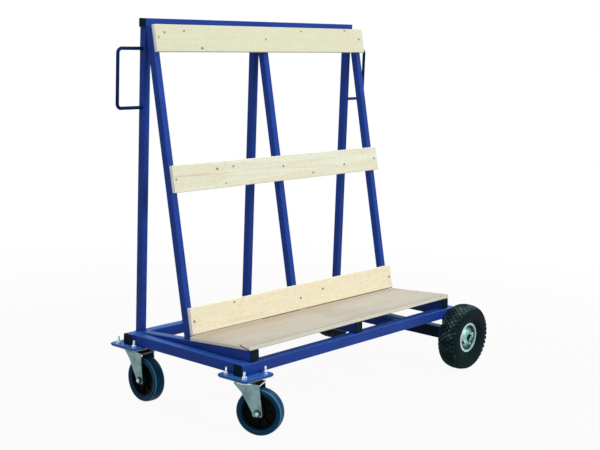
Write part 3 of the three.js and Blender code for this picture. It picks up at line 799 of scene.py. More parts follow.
def facing(place: Vector, axis: Vector, spin: float = 0.0) -> Matrix:
    """A place whose Z points along an axis, turned about it by a spin in radians."""
    turn = axis.normalized().to_track_quat("Z", "Y").to_matrix().to_4x4()
    return Matrix.Translation(place) @ turn @ Matrix.Rotation(spin, 4, "Z")


def repaint(item: Object, finish: Material, chosen: FaceTest) -> None:
    """Gives some faces of a piece another finish.

    Args:
        item: The piece.
        finish: The finish.
        chosen: Tells which faces take it.
    """
    item.data.materials.append(finish)
    for face in filter(chosen, item.data.polygons):
        face.material_index = len(item.data.materials) - 1


def in_ring(where: Matrix, inner: float, outer: float) -> FaceTest:
    """Makes a test for the faces in a ring.

    Args:
        where: The place whose Z axis the ring goes round.
        inner: Its inner radius in millimetres.
        outer: Its outer radius in millimetres.

    Returns:
        The test.
    """
    home = where.inverted()

    def inside(face: MeshPolygon) -> bool:
        """Whether a face is in the ring."""
        return inner * MM < (home @ face.center).xy.length < outer * MM

    return inside


class Cart:
    """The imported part: where its nodes are, and which body and finish each one has."""

    merge_gap: float = 0.01
    flat_angle: float = 1.0
    corner_angle: float = 40.0
    edge_segments: int = 2

    def __init__(self) -> None:
        """Reads bodies, slots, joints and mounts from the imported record."""
        record = frame["record"]
        self.body = {node: body for body, nodes in record["behaviour"]["bodies"].items() for node in nodes}
        self.slot = {part["node"]: part["material_slot"] for part in record["subparts"]}
        self.joints = {joint["name"]: joint for joint in frame["joints"]}
        self.mounts = {mount["name"]: mount for mount in record["mounts"]}

    def middle(self, node: str) -> Vector:
        """Middle of a node's box."""
        low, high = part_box(node)
        return (low + high) / 2

    def pivot(self, joint: str) -> tuple[Vector, Vector]:
        """Place and axis of a joint."""
        facts = self.joints[joint]
        return Vector(facts["pos_m"]), Vector(facts["axis"]).normalized()

    def normal(self, mount: str) -> Vector:
        """Outward direction of a mount's face."""
        return Vector(self.mounts[mount]["axis"]).normalized()

    def home(self, node: str) -> tuple[str, str]:
        """Body and slot of a node."""
        return self.body[node], self.slot[node]

    def dress(self, item: Object, body: str, slot: str, *nodes: str) -> Object:
        """Makes a piece ride a body and stand for nodes, and logs its slot.

        Args:
            item: The piece.
            body: The body that carries it.
            slot: The record's material slot.
            *nodes: The nodes that it replaces.

        Returns:
            The piece.
        """
        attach(item, body)
        if nodes:
            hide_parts(*nodes)
        LOG.info("%s rides %s with finish %s", item.name, body, slot)
        return item

    def place(self, name: str, mesh: Mesh, where: Matrix, finish: Material, *home: str) -> Object:
        """Sets a finished mesh in its place.

        Args:
            name: The piece's name.
            mesh: Its mesh, about its own origin.
            where: Its place.
            finish: Its finish.
            *home: Its body and slot, and then the nodes that it replaces.

        Returns:
            The piece.
        """
        mesh.transform(where)
        mesh.materials.append(finish)
        return self.dress(new_object(name, mesh), *home)

    def refined(
        self,
        node: str,
        finish: Material,
        radius: float = 0.0,
        form: Callable[[BMesh], None] | None = None,
    ) -> Object:
        """Replaces a node by a copy with merged points and soft edges.

        Args:
            node: The node.
            finish: Its finish.
            radius: Edge radius in millimetres, or 0 where the solid is round enough.
            form: Works on the copy before its edges are softened.

        Returns:
            The piece.
        """
        shape = bmesh.new()
        shape.from_mesh(frame["nodes"][node].data)
        bmesh.ops.remove_doubles(shape, verts=shape.verts, dist=self.merge_gap * MM)
        flat = math.radians(self.flat_angle)
        bmesh.ops.dissolve_limit(shape, angle_limit=flat, verts=shape.verts, edges=shape.edges)
        if form:
            form(shape)
        mesh = bpy.data.meshes.new(f"{node}_fine")
        shape.to_mesh(mesh)
        shape.free()
        mesh.materials.append(finish)
        item = new_object(f"{node}_fine", mesh)
        if radius:
            bevel = item.modifiers.new("edges", "BEVEL")
            bevel.width = radius * MM
            bevel.segments = self.edge_segments
            bevel.limit_method = "ANGLE"
            bevel.angle_limit = math.radians(self.corner_angle)
        smoothed(mesh)
        item.modifiers.new("normals", "WEIGHTED_NORMAL").keep_sharp = True
        return self.dress(made_plain(item), *self.home(node), node)


class Generator(NodeGraph):
    """A Geometry Nodes tree that makes a finished mesh from plain points or edges."""

    def __init__(self, name: str, **sockets: str) -> None:
        """Starts the tree with its inputs.

        Args:
            name: The tree's name.
            **sockets: Name and type of each input besides the geometry and the finish.
        """
        self.tree = bpy.data.node_groups.new(name, "GeometryNodeTree")
        super().__init__(self.tree)
        face = self.tree.interface
        self.keys = {
            title: face.new_socket(title, in_out="INPUT", socket_type=f"NodeSocket{kind}").identifier
            for title, kind in {"geometry": "Geometry", "finish": "Material", **sockets}.items()
        }
        face.new_socket("geometry", in_out="OUTPUT", socket_type="NodeSocketGeometry")
        self.given = self.add("NodeGroupInput")

    def hand_out(self, geometry: NodeSocket) -> None:
        """Gives the geometry its finish and makes it the tree's result."""
        inputs = {"Geometry": geometry, "Material": self.given["finish"]}
        self.add("NodeGroupOutput", {0: self.add("GeometryNodeSetMaterial", inputs)[0]})

    def run(self, name: str, mesh: Mesh, **settings: object) -> Object:
        """Runs the tree on a mesh.

        Args:
            name: The piece's name.
            mesh: The points or edges.
            **settings: The tree's inputs.

        Returns:
            The piece as one plain mesh, not yet riding on a body.
        """
        item = new_object(name, mesh)
        modifier = item.modifiers.new("generator", "NODES")
        modifier.node_group = self.tree
        for title, value in settings.items():
            modifier[self.keys[title]] = value
        return made_plain(item)


class Repeater(Generator):
    """Sets a template on every point, turned by the point's own angles."""

    seed: int = 11

    def __init__(self) -> None:
        """Builds the tree."""
        super().__init__("set_on_points", template="Object", spread="Float")
        low, high = (self.math(way, 1.0, self.given["spread"]) for way in ("SUBTRACT", "ADD"))
        limits = {2: low, 3: high, "Seed": self.seed}
        size = self.add("FunctionNodeRandomValue", limits, data_type="FLOAT")[1]
        turn = self.add("GeometryNodeInputNamedAttribute", {"Name": "turn"}, data_type="FLOAT_VECTOR")
        template = self.add("GeometryNodeObjectInfo", {"Object": self.given["template"]})["Geometry"]
        inputs = {"Points": self.given["geometry"], "Instance": template}
        inputs |= {"Rotation": turn["Attribute"], "Scale": size}
        pieces = self.add("GeometryNodeInstanceOnPoints", inputs)["Instances"]
        self.hand_out(self.add("GeometryNodeRealizeInstances", {"Geometry": pieces})["Geometry"])

    def repeat(
        self,
        name: str,
        template: Mesh,
        places: Sequence[Matrix],
        finish: Material,
        spread: float = 0.0,
    ) -> Object:
        """Sets a template at every place, as one plain mesh.

        Args:
            name: The piece's name.
            template: The mesh that repeats.
            places: Where it goes.
            finish: Its finish.
            spread: How much the sizes differ from 1.

        Returns:
            The piece, not yet riding on a body.
        """
        points = bpy.data.meshes.new(name)
        points.from_pydata([place.translation for place in places], [], [])
        turns = points.attributes.new("turn", "FLOAT_VECTOR", "POINT")
        turns.data.foreach_set("vector", [angle for place in places for angle in place.to_euler()])
        pattern = new_object(f"{name}_template", template)
        item = self.run(name, points, template=pattern, spread=spread, finish=finish)
        bpy.data.objects.remove(pattern)
        return item


class RodBender(Generator):
    """Bends a round rod along a cornered path."""

    bend_steps: int = 8
    round_steps: int = 20

    def __init__(self) -> None:
        """Builds the tree."""
        super().__init__("bent_rod", rod="Float", bend="Float")
        curve = self.add("GeometryNodeMeshToCurve", {"Mesh": self.given["geometry"]})["Curve"]
        bends = {"Curve": curve, "Radius": self.given["bend"], "Count": self.bend_steps}
        path = self.add("GeometryNodeFilletCurve", bends, mode="POLY")["Curve"]
        circle = {"Radius": self.given["rod"], "Resolution": self.round_steps}
        section = self.add("GeometryNodeCurvePrimitiveCircle", circle)["Curve"]
        sweep = {"Curve": path, "Profile Curve": section, "Fill Caps": True}
        self.hand_out(self.add("GeometryNodeCurveToMesh", sweep)["Mesh"])

    def bend(
        self, name: str, path: Sequence[Vector], rod: float, bend: float, finish: Material
    ) -> Object:
        """Bends a rod along a path, as one plain mesh.

        Args:
            name: The piece's name.
            path: The path's corners.
            rod: Rod radius in millimetres.
            bend: Bend radius in millimetres.
            finish: Its finish.

        Returns:
            The piece, not yet riding on a body.
        """
        corners = bpy.data.meshes.new(name)
        corners.from_pydata(path, [(i, i + 1) for i in range(len(path) - 1)], [])
        item = self.run(name, corners, rod=rod * MM, bend=bend * MM, finish=finish)
        smoothed(item.data)
        return item


@dataclass
class SubAssembly:
    """The part that a sub-assembly dresses, the shared finishes and the two generators."""

    cart: Cart
    finishes: Finishes
    repeater: Repeater
    bender: RodBender

    def scatter(
        self,
        name: str,
        template: Mesh,
        places: Sequence[Matrix],
        finish: Material,
        home: tuple[str, str],
        spread: float = 0.0,
    ) -> None:
        """Repeats a fixing over its places, riding the body of its home and logging its slot."""
        item = self.repeater.repeat(name, template, places, finish, spread)
        self.cart.dress(item, *home)


@dataclass
class TubeFrame(SubAssembly):
    """The welded frame: refined tubes, plugs, bent handles and weld beads."""

    plate_edge: float = 1.0
    plug_edge: float = 0.8
    handle_bend: float = 16.0
    handle_rod: float = 6.0
    bead: Turning = (((0, -1.4), (1.7, -1.0), (2.4, 0), (1.7, 1.0), (0, 1.4)), 8)
    bead_step: float = 2.6
    bead_spread: float = 0.15
    groove: float = 2.0
    groove_drop: float = 1.2
    groove_run: float = 120.0
    groove_fall: float = 3.0
    wedge_start: float = 10.0
    wedge_rise: float = 1.4
    foot_depth: float = 0.2

    def build(self) -> None:
        """Builds the whole frame."""
        threes = ("{}_cross_tube", "deck_bearer_{}", "rear_post_{}", "leaning_leg_{}")
        tubes = [name.format(label) for name in threes for label in THIRDS]
        for node in ("front_rail", "rear_rail", *tubes, "top_rail"):
            self.cart.refined(node, self.finishes.paint)
        # The castor pads take the paler coat with painted light on it.
        for side in Side:
            self.cart.refined(f"castor_pad_{side}", self.finishes.pad, self.plate_edge)
        # The axle beam and its hangers take the coat with painted shade.
        self.cart.refined("axle_beam", self.finishes.grimed)
        for side in Side:
            self.cart.refined(f"axle_hanger_{side}", self.finishes.grimed, self.plate_edge)
        ends = ("left", "right")
        plugs = {"front_rail": ends, "rear_rail": ends, "bearer": THIRDS, "top_rail": ends}
        for tube, labels in plugs.items():
            for label in labels:
                self.cart.refined(f"{tube}_plug_{label}", self.finishes.plug, self.plug_edge)
        self.handle("handle_left", -1.0)
        self.handle("handle_right", 1.0)
        bead = turned_mesh("weld_bead", self.bead)
        home = ("frame", "blue_paint")
        self.scatter("weld_beads", bead, self.weld_places(), self.finishes.paint, home, self.bead_spread)

    def handle(self, node: str, outwards: float) -> None:
        """Bends one handle.

        Args:
            node: The handle's node.
            outwards: 1 where it reaches along +X, -1 along -X.
        """
        low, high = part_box(node)
        rod = self.handle_rod * MM
        root, grip = (low.x, high.x - rod) if outwards > 0 else (high.x, low.x + rod)
        y = (low.y + high.y) / 2
        foot, top = low.z + rod, high.z - rod
        path = [Vector((x, y, z)) for x, z in ((root, foot), (grip, foot), (grip, top), (root, top))]
        sizes = self.handle_rod, self.handle_bend
        item = self.bender.bend(f"{node}_rod", path, *sizes, self.finishes.handled)
        self.cart.dress(item, *self.cart.home(node), node)

    def weld_places(self) -> list[Matrix]:
        """Finds the places of the weld beads where the tubes meet.

        Returns:
            The places.
        """
        places: list[Matrix] = []
        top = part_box("rear_rail")[1].z
        rail_low, rail_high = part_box("front_rail")
        slope = self.cart.normal("deck_top")
        for label in THIRDS:
            low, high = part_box(f"rear_post_{label}")
            corners = [(low.x, high.y), (low.x, low.y), (high.x, low.y), (high.x, high.y)]
            places += self.seam([Vector((x, y, top)) for x, y in corners])
            places += self.foot_seam(f"leaning_leg_{label}", slope)
        for label in THIRDS:
            low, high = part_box(f"{label}_cross_tube")
            for x in (low.x, high.x):
                for y in (low.y, high.y):
                    places += self.seam([Vector((x, y, low.z)), Vector((x, y, high.z))])
        for label, inner in (("left", 1), ("right", 0)):
            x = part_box(f"{label}_cross_tube")[inner].x + (2 * inner - 1) * self.groove * MM
            start = Vector((x, rail_high.y, top - self.groove_drop * MM))
            places += self.seam([start, start + Vector((0, self.groove_run, -self.groove_fall)) * MM])
        for label in THIRDS:
            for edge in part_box(f"deck_bearer_{label}"):
                foot = Vector((edge.x, rail_low.y, rail_high.z))
                start = foot + Vector((0, self.wedge_start, self.wedge_rise)) * MM
                places += self.seam([start, Vector((edge.x, rail_high.y, rail_high.z))])
        return places

    def seam(self, corners: Sequence[Vector]) -> list[Matrix]:
        """Finds bead places along a line of corners.

        Args:
            corners: The corners in order.

        Returns:
            The places.
        """
        places = []
        for start, end in zip(corners, corners[1:], strict=False):
            count = max(2, round((end - start).length / (self.bead_step * MM)))
            direction = (end - start).normalized()
            places += [facing(start.lerp(end, (i + 0.5) / count), direction) for i in range(count)]
        return places

    def foot_seam(self, leg: str, normal: Vector) -> list[Matrix]:
        """Finds bead places round a leaning leg's foot.

        Args:
            leg: The leg's node.
            normal: The direction square to the bearer's top.

        Returns:
            The places.
        """
        points = [vertex.co.copy() for vertex in frame["nodes"][leg].data.vertices]
        lowest = min(point.dot(normal) for point in points)
        foot = [point for point in points if point.dot(normal) < lowest + self.foot_depth * MM]
        left, right = min(point.x for point in foot), max(point.x for point in foot)
        near, far = min(point.y for point in foot), max(point.y for point in foot)
        ring = [(left, near), (right, near), (right, far), (left, far), (left, near)]
        return self.seam([Vector((x, y, (lowest - normal.y * y) / normal.z)) for x, y in ring])


@dataclass
class Woodwork(SubAssembly):
    """The deck panel and the three boards with their screws."""

    thickness: float = 15.0
    deck_edge: float = 0.6
    board_edge: float = 0.8
    eased: float = 6.0
    eased_segments: int = 4
    # The least part of a face's normal along X on the deck's ends, and along Z on its top.
    end_above: float = 0.99
    top_above: float = 0.9
    seed_step: float = 3.7
    screw: Turning = (
        ((0, -3), (2, -3), (4.6, 0.2), (4.4, 0.8), (3.4, 1.1), (1.6, 1.2), (1.2, 0.3), (0, 0.3)), 20,
    )
    boards: dict[str, Board] = field(default_factory=lambda: {
        "top_board": Board(
            srgb(219, 220, 193), srgb(213, 206, 175), 0.25,
            ((-536, 19, 4), (-442, 25, 4), (-362, -35, 5), (189, 33, 4), (461, 39, 4)),
            ((2, 3), (-8, 0), (-3, 6)),
        ),
        "middle_board": Board(
            srgb(232, 237, 218), srgb(227, 219, 189), 0.8,
            ((-362, 21, 5), (-279, 24, 4), (161, -29, 4), (358, -11, 5), (-326, -33, 3)),
            ((2, -1), (3, 7), (3, 1)),
        ),
        "bottom_board": Board(
            srgb(245, 238, 211), srgb(236, 222, 184), 0.4,
            ((134, 12, 5), (-359, 36, 4)),
            ((4, 0), (11, -3), (9, 0)),
            # Painted shade along the bottom board's foot.
            foot=0.9,
        ),
    })

    def build(self) -> None:
        """Builds the deck, the boards and the screws."""
        rise = self.cart.normal("deck_top")
        slope = math.atan2(rise.y, rise.z)
        low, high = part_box("deck_panel")
        thickness = self.thickness * MM
        depth = (high.y - low.y - thickness * math.sin(slope)) / math.cos(slope)
        plywood = Plywood((low + high) / 2, slope, thickness, high.x - low.x, depth)
        self.cart.refined("deck_panel", plywood.material(), self.deck_edge, self.ease_ends)
        outward = self.cart.normal("middle_board_face")
        lean = math.atan2(outward.z, -outward.y)
        places = []
        for index, (node, board) in enumerate(self.boards.items()):
            pine = Pine(f"{node}_pine", board, self.cart.middle(node), lean, index * self.seed_step)
            self.cart.refined(node, pine.material(), self.board_edge)
            places += self.screw_places(node, outward)
        screw = turned_mesh("board_screw", self.screw)
        self.scatter("board_screws", screw, places, self.finishes.screw, ("frame", "zinc"))

    def ease_ends(self, shape: BMesh) -> None:
        """Rounds the upper edges of the deck's two ends, sanded for the sheets that slide over them.

        Args:
            shape: The deck.
        """
        shape.normal_update()
        ends = [
            edge for edge in shape.edges
            if max(abs(face.normal.x) for face in edge.link_faces) > self.end_above
            and max(face.normal.z for face in edge.link_faces) > self.top_above
        ]
        bmesh.ops.bevel(
            shape, geom=ends, offset=self.eased * MM, segments=self.eased_segments, profile=0.5,
            affect="EDGES", clamp_overlap=True,
        )

    def screw_places(self, node: str, outward: Vector) -> list[Matrix]:
        """Finds the places of a board's screws, one over each leg.

        Args:
            node: The board's node.
            outward: The direction its front face looks.

        Returns:
            The places, each with a turn of its own.
        """
        uphill = Vector((0, outward.z, -outward.y))
        middle = self.cart.middle(node) + outward * (self.thickness / 2 * MM)
        places = []
        for leg, (along, across) in zip(THIRDS, self.boards[node].screws, strict=True):
            x = self.cart.middle(f"leaning_leg_{leg}").x + along * MM
            place = Vector((x, middle.y, middle.z)) + uphill * (across * MM)
            places.append(facing(place, outward, spin=along))
        return places


@dataclass
class Castor(SubAssembly):
    """One swivel castor: refined plate and fork, seal ring, fixings, and a turned wheel with ribs."""

    side: Side
    edges: dict[str, float] = field(default_factory=lambda: {
        "top_plate": 0.6, "fork": 0.9, "axle_bolt": 1.4, "kingpin": 0.6, "bearing": 0.4,
    })
    stud_spacing: Pair = (102.0, 80.0)
    nut_turns: Pair = (0.4, 0.7)
    crown: float = 5.2
    race: float = 3.0
    # Limits on the parts of a face's normal along Z and along the axle, which tell the fork's faces apart.
    upright_below: float = 0.5
    end_below: float = 0.4
    inner_above: float = 0.9
    flat_above: float = 0.97
    race_cup: Turning = (
        ((20, -3.0), (39.2, -3.0), (39.8, -2.4), (39.8, 1.2), (39.4, 1.6), (20, 1.6), (20, -3.0)), 64,
    )
    bolt_washer: Profile = ((9.0, 31.05), (12.9, 31.05), (12.9, 32.1), (9.0, 32.1), (9.0, 31.05))
    thread_end: Profile = ((0, -2.0), (4.2, -2.0), (4.2, 1.2), (3.4, 2.2), (0, 2.6))
    seal_bore: float = 10.4
    skirt: Pair = (4.0, 1.4)
    skirt_wall: float = 3.4
    seal_chamfer: Pair = (1.2, 1.4)
    seal_groove: Pair = (1.0, 0.6)
    half_tyre: Profile = (
        (59.9, 17.5), (62.5, 20.5), (66.5, 22.6), (72.5, 23), (76.5, 20.5), (78.9, 15.5), (79.8, 8),
        (80, 0),
    )
    # Radii of the ring round the tyre's shoulder that takes the painted highlight, in millimetres.
    worn_edge: Pair = (76.5, 78.5)
    half_core: Profile = (
        (11.4, 25), (19, 25), (21, 24), (22.5, 22), (24.5, 8), (27, 7), (49, 7), (51.5, 9), (53, 17.6),
        (58.6, 18.4), (59.4, 17.6), (59.4, 0),
    )
    rib: Block = Block((28, 3.6, 9), 0.8, 0.9)
    rib_seat: Triple = (37.5, 0, 6)
    ribs: int = 8
    nut: tuple[Turning, ...] = (
        (((4.2, 0.05), (9.6, 0.05), (9.6, 1.4), (9.2, 1.7), (4.2, 1.7), (4.2, 0.05)), 28),
        (((4.2, 1.7), (8.4, 1.7), (9.2, 2.3), (9.2, 8.2), (8.4, 8.8), (4.2, 8.8), (4.2, 1.7)), 6),
        (((0, 8.0), (4.25, 8.0), (4.25, 22.4), (3.6, 24.2), (2.0, 25.2), (0, 25.5)), 20),
    )
    steps: int = 64
    seal_steps: int = 48
    bolt_steps: int = 24

    def __post_init__(self) -> None:
        """Finds the swivel and the axle."""
        self.swivel, self.upright = self.cart.pivot(f"{self.side}_castor_swivel_turn")
        self.hub, self.axle = self.cart.pivot(f"{self.side}_castor_wheel_roll")

    def node(self, piece: str) -> str:
        """Name of this castor's node for a piece."""
        return f"castor_{piece}_{self.side}"

    def build(self) -> None:
        """Builds the castor."""
        self.steel("top_plate")
        self.wear_fork(self.steel("fork"))
        self.steel("axle_bolt")
        self.bolt_ends()
        self.steel("kingpin")
        self.steel("bearing")
        self.seal()
        self.wheel()
        self.stud_nuts()

    def steel(self, piece: str) -> Object:
        """Refines one of the zinc-plated pieces, with its own edge radius."""
        return self.cart.refined(self.node(piece), self.finishes.zinc, self.edges[piece])

    def wear_fork(self, fork: Object) -> None:
        """Paints light and shade on the fork and adds the race cup: its crown's end and the cup are a painted
        highlight on the front castor and painted shade on the rear, its inside and the flat of its crown painted
        shade.

        Args:
            fork: The refined fork.
        """
        node = self.node("fork")
        # Painted light: bright zinc on the front castor as a painted highlight, darker zinc on the rear as painted
        # shade.
        painted_light_zinc = self.finishes.bright if self.side is Side.FRONT else self.finishes.dull
        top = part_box(node)[1].z - self.race * MM

        def on_crown(face: MeshPolygon) -> bool:
            """Whether a face is part of the crown."""
            return face.center.z > top - self.crown * MM

        def at_end(face: MeshPolygon) -> bool:
            """Whether a face is the crown's end, which takes painted light."""
            ahead = abs(face.normal.dot(self.axle)) < self.end_below
            return on_crown(face) and ahead and abs(face.normal.z) < self.upright_below

        def inner(face: MeshPolygon) -> bool:
            """Whether a face looks at the wheel."""
            across, offset = face.normal.dot(self.axle), (face.center - self.swivel).dot(self.axle)
            return across * offset < 0 and abs(across) > self.inner_above

        def greasy(face: MeshPolygon) -> bool:
            """Whether a face looks at the wheel or is flat on the crown, where the fork takes painted shade."""
            return inner(face) or (on_crown(face) and abs(face.normal.z) > self.flat_above)

        repaint(fork, painted_light_zinc, at_end)
        repaint(fork, self.finishes.grease, greasy)
        where = facing(Vector((self.swivel.x, self.swivel.y, top)), self.upright)
        cup = turned_mesh("race_cup", self.race_cup)
        self.scatter(f"race_cup_{self.side}", cup, [where], painted_light_zinc, self.cart.home(node))

    def bolt_ends(self) -> None:
        """A washer under each end of the axle bolt, near black with painted shade, and its bright thread ends."""
        node = self.node("axle_bolt")
        points = frame["nodes"][node].data.vertices
        reach = max((point.co - self.hub).dot(self.axle) for point in points) / MM
        thread = [(radius, reach + height) for radius, height in self.thread_end]
        places = [facing(self.hub, outwards) for outwards in (self.axle, -self.axle)]
        washer = ("washers", self.bolt_washer, self.finishes.grease)
        for piece, profile, finish in (washer, ("thread_ends", thread, self.finishes.bright)):
            mesh = turned_mesh(f"bolt_{piece}", (profile, self.bolt_steps))
            self.scatter(f"bolt_{piece}_{self.side}", mesh, places, finish, self.cart.home(node))

    def seal(self) -> None:
        """A ribbed seal ring with a skirt round the race."""
        node = self.node("seal")
        low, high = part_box(node)
        bore, outer, half = self.seal_bore, (high.x - low.x) / 2 / MM, (high.z - low.z) / 2 / MM
        lip, foot, clear = outer + self.skirt[0], -half - self.skirt[1], outer - self.skirt_wall
        cut, rise = self.seal_chamfer
        groove, width = lip - self.seal_groove[0], self.seal_groove[1]
        profile = [
            (bore, -half), (clear, -half), (clear, foot), (lip - cut, foot), (lip, foot + rise),
            (groove, -width), (groove, width), (outer, half - rise), (outer - cut, half),
            (bore, half), (bore, -half),
        ]
        mesh = turned_mesh("seal_ring", (profile, self.seal_steps))
        where = Matrix.Translation(self.cart.middle(node))
        self.cart.place(f"{node}_ring", mesh, where, self.finishes.seal, *self.cart.home(node), node)

    def wheel(self) -> None:
        """The turned tyre with a painted highlight round its shoulder, and the ribbed core."""
        where = facing(self.hub, self.axle)
        tyre = self.turned("tyre", self.half_tyre, where, self.finishes.castor_rubber)
        # Painted highlight: the ring round the tyre's shoulder takes the pale rubber.
        repaint(tyre, self.finishes.castor_edge, in_ring(where, *self.worn_edge))
        self.turned("core", self.half_core, where, self.finishes.core)
        seat = Matrix.Translation(Vector(self.rib_seat) * MM)
        places = []
        for index in range(2 * self.ribs):
            face = Matrix.Rotation(math.pi * (index % 2), 4, "X")
            turn = Matrix.Rotation(FULL_TURN * (index // 2) / self.ribs, 4, "Z")
            places.append(where @ face @ turn @ seat)
        name, home = f"castor_ribs_{self.side}", self.cart.home(self.node("core"))
        self.scatter(name, self.rib.mesh("castor_rib"), places, self.finishes.core, home)

    def turned(self, piece: str, half: Profile, where: Matrix, finish: Material) -> Object:
        """Sets a turned mesh in place of one of the wheel's nodes.

        Args:
            piece: The piece.
            half: The upper half of its profile.
            where: The wheel's place.
            finish: Its finish.

        Returns:
            The new piece.
        """
        node = self.node(piece)
        mesh = turned_mesh(f"castor_{piece}", ((*half, *lower(half), half[0]), self.steps))
        return self.cart.place(f"{node}_round", mesh, where, finish, *self.cart.home(node), node)

    def stud_nuts(self) -> None:
        """Nuts on washers over the plate's studs, with the rounded ends of the studs."""
        middle = self.cart.middle(self.node("pad"))
        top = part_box(self.node("pad"))[1].z
        x, y = (spacing / 2 * MM for spacing in self.stud_spacing)
        turn_x, turn_y = self.nut_turns
        places = [
            Matrix.Translation((middle.x + a * x, middle.y + b * y, top))
            @ Matrix.Rotation(turn_x * a + turn_y * b, 4, "Z")
            for a in (-1, 1) for b in (-1, 1)
        ]
        nut = turned_mesh("stud_nut", *self.nut, angle=40.0)
        self.scatter(f"stud_nuts_{self.side}", nut, places, self.finishes.bright, ("frame", "zinc"))


@dataclass
class RoadWheel(SubAssembly):
    """One pneumatic wheel: block-tread tyre, pressed rim, hub, and the axle's end."""

    side: Side
    tyre_outside: Profile = (
        (51.4, 24.4), (57, 24.7), (59.6, 25.6), (64, 29.5), (70, 33.8), (76, 36.8), (77, 37.9), (80, 38.9),
        (81, 38.6), (88, 40.2), (95, 40.6), (104, 39.8), (112, 37.4), (118, 34), (122.5, 28.5), (125, 21),
        (126, 10), (126.2, 0),
    )
    tyre_inside: Profile = ((119, 0), (117, 18), (102, 33), (80, 31), (62, 20), (51.4, 17))
    block: Block = Block((11.5, 11.5, 5.5), 0.9, 0.86)
    block_rows: tuple[TreadRow, ...] = (
        (0.0, 124.4, 0.0, 0.0), (-11.6, 124.0, 6.0, 0.5), (11.6, 124.0, 6.0, 0.5),
        (-22.6, 121.6, 16.0, 0.0), (22.6, 121.6, 16.0, 0.0),
    )
    blocks: int = 44
    lug: Block = Block((13.0, 15.0, 5.0), 1.0, 0.84)
    lug_rows: tuple[TreadRow, ...] = (
        (-32.0, 117.6, 44.0, 0.0), (32.0, 117.6, 44.0, 0.0),
    )
    lugs: int = 40
    rim: Profile = (
        (15.4, 30.6), (19, 30.4), (24, 28.8), (32, 24.6), (38, 20.6), (42, 16.6), (45, 12.4), (47, 10.4),
        (48.2, 12), (48.2, 25.8), (49.5, 27.4), (52, 28), (57.4, 28), (58.8, 27.4), (59, 26), (58.4, 25.2),
        (53, 25.1), (51.6, 24.6), (51, 23), (51, -23), (51.6, -24.6), (53, -25.1), (58.4, -25.2), (59, -26),
        (58.8, -27.4), (57.4, -28), (52, -28), (49.5, -27.4), (48, -25.8), (48, 7.2), (45, 8.8), (41, 13.4),
        (37, 17.4), (31, 21.4), (23, 25.6), (15.4, 27.6), (15.4, 30.6),
    )
    flange_from: float = 52.6
    hub: Profile = (
        (8.4, -42), (14, -42), (15, -41), (15, 8.9), (24, 8.9), (25, 9.6), (25, 15.8), (24.4, 16.5),
        (15, 16.5), (15, 31), (14, 32.6), (12.8, 33), (11.6, 33), (11.2, 31.8), (9.6, 31.8), (9.3, 33),
        (8.4, 33), (8.4, -42),
    )
    bolt: tuple[Turning, ...] = (
        (((0, 0), (6.2, 0), (6.2, 0.9), (5.4, 1.3), (0, 1.3)), 20),
        (((0, 1.3), (5.0, 1.3), (5.0, 5.0), (4.4, 5.6), (0, 5.6)), 6),
    )
    bolt_seat: Triple = (29, 0, 25.6)
    bolt_lean: float = 27.0
    bolt_phase: float = 0.28
    bolts: int = 4
    valve: Turning = (
        ((0, 0), (3.6, 0), (3.2, 6), (2.4, 8), (2.4, 16), (3.0, 16.4), (3.0, 21), (2.2, 22), (0, 22)), 16,
    )
    valve_seat: Triple = (44.0, 0, 10.6)
    valve_turn: float = 205.0
    valve_lean: float = -18.0
    washer: Turning = (((8.4, 33.2), (12.2, 33.2), (12.2, 35.0), (8.4, 35.0), (8.4, 33.2)), 32)
    axle_edge: float = 1.2
    pin: Profile = ((-11, -3), (-9, -1), (9.4, 0), (13.4, 2.6), (16, 0), (13.4, -2.6), (9.4, 0.4), (-12, 2))
    pin_height: float = 37.6
    pin_turn: float = 28.0
    pin_wire: float = 1.5
    pin_bend: float = 1.2
    steps: int = 72
    hub_steps: int = 40

    def __post_init__(self) -> None:
        """Finds the wheel's place, with Z outwards."""
        place, axis = self.cart.pivot(f"{self.side}_road_wheel_roll")
        self.where = facing(place, -axis if self.side is Side.FRONT else axis)
        self.body = f"{self.side}_road_wheel"

    def build(self) -> None:
        """Builds the wheel."""
        self.turned("road_tyre", "carcass", self.tyre_profile(), self.steps, self.finishes.tyre)
        self.tread("tread_blocks", self.block, self.block_rows, self.blocks, math.pi / 4)
        self.tread("shoulder_lugs", self.lug, self.lug_rows, self.lugs, 0.0)
        rim = self.turned("road_rim", "pressed", self.rim, self.steps, self.finishes.rim)
        # Painted highlight: the flange's outer ring takes the bright zinc.
        repaint(rim, self.finishes.bright, in_ring(self.where, self.flange_from, math.inf))
        self.turned("road_hub", "turned", self.hub, self.hub_steps, self.finishes.plug)
        self.fixings()
        self.axle_end()

    def tyre_profile(self) -> Profile:
        """The closed profile of the carcass, open to the rim."""
        outside, inside = self.tyre_outside, self.tyre_inside
        return [*outside, *lower(outside), *lower(inside), *inside, outside[0]]

    def turned(
        self, piece: str, form: str, profile: Profile, steps: int, finish: Material
    ) -> Object:
        """Sets a turned mesh in place of one of the wheel's nodes.

        Args:
            piece: The node's name without its side.
            form: Ending of the new piece's name.
            profile: Its profile.
            steps: Facets round the axle.
            finish: Its finish.

        Returns:
            The piece.
        """
        node = f"{piece}_{self.side}"
        mesh = turned_mesh(piece, (profile, steps))
        return self.cart.place(f"{node}_{form}", mesh, self.where, finish, *self.cart.home(node), node)

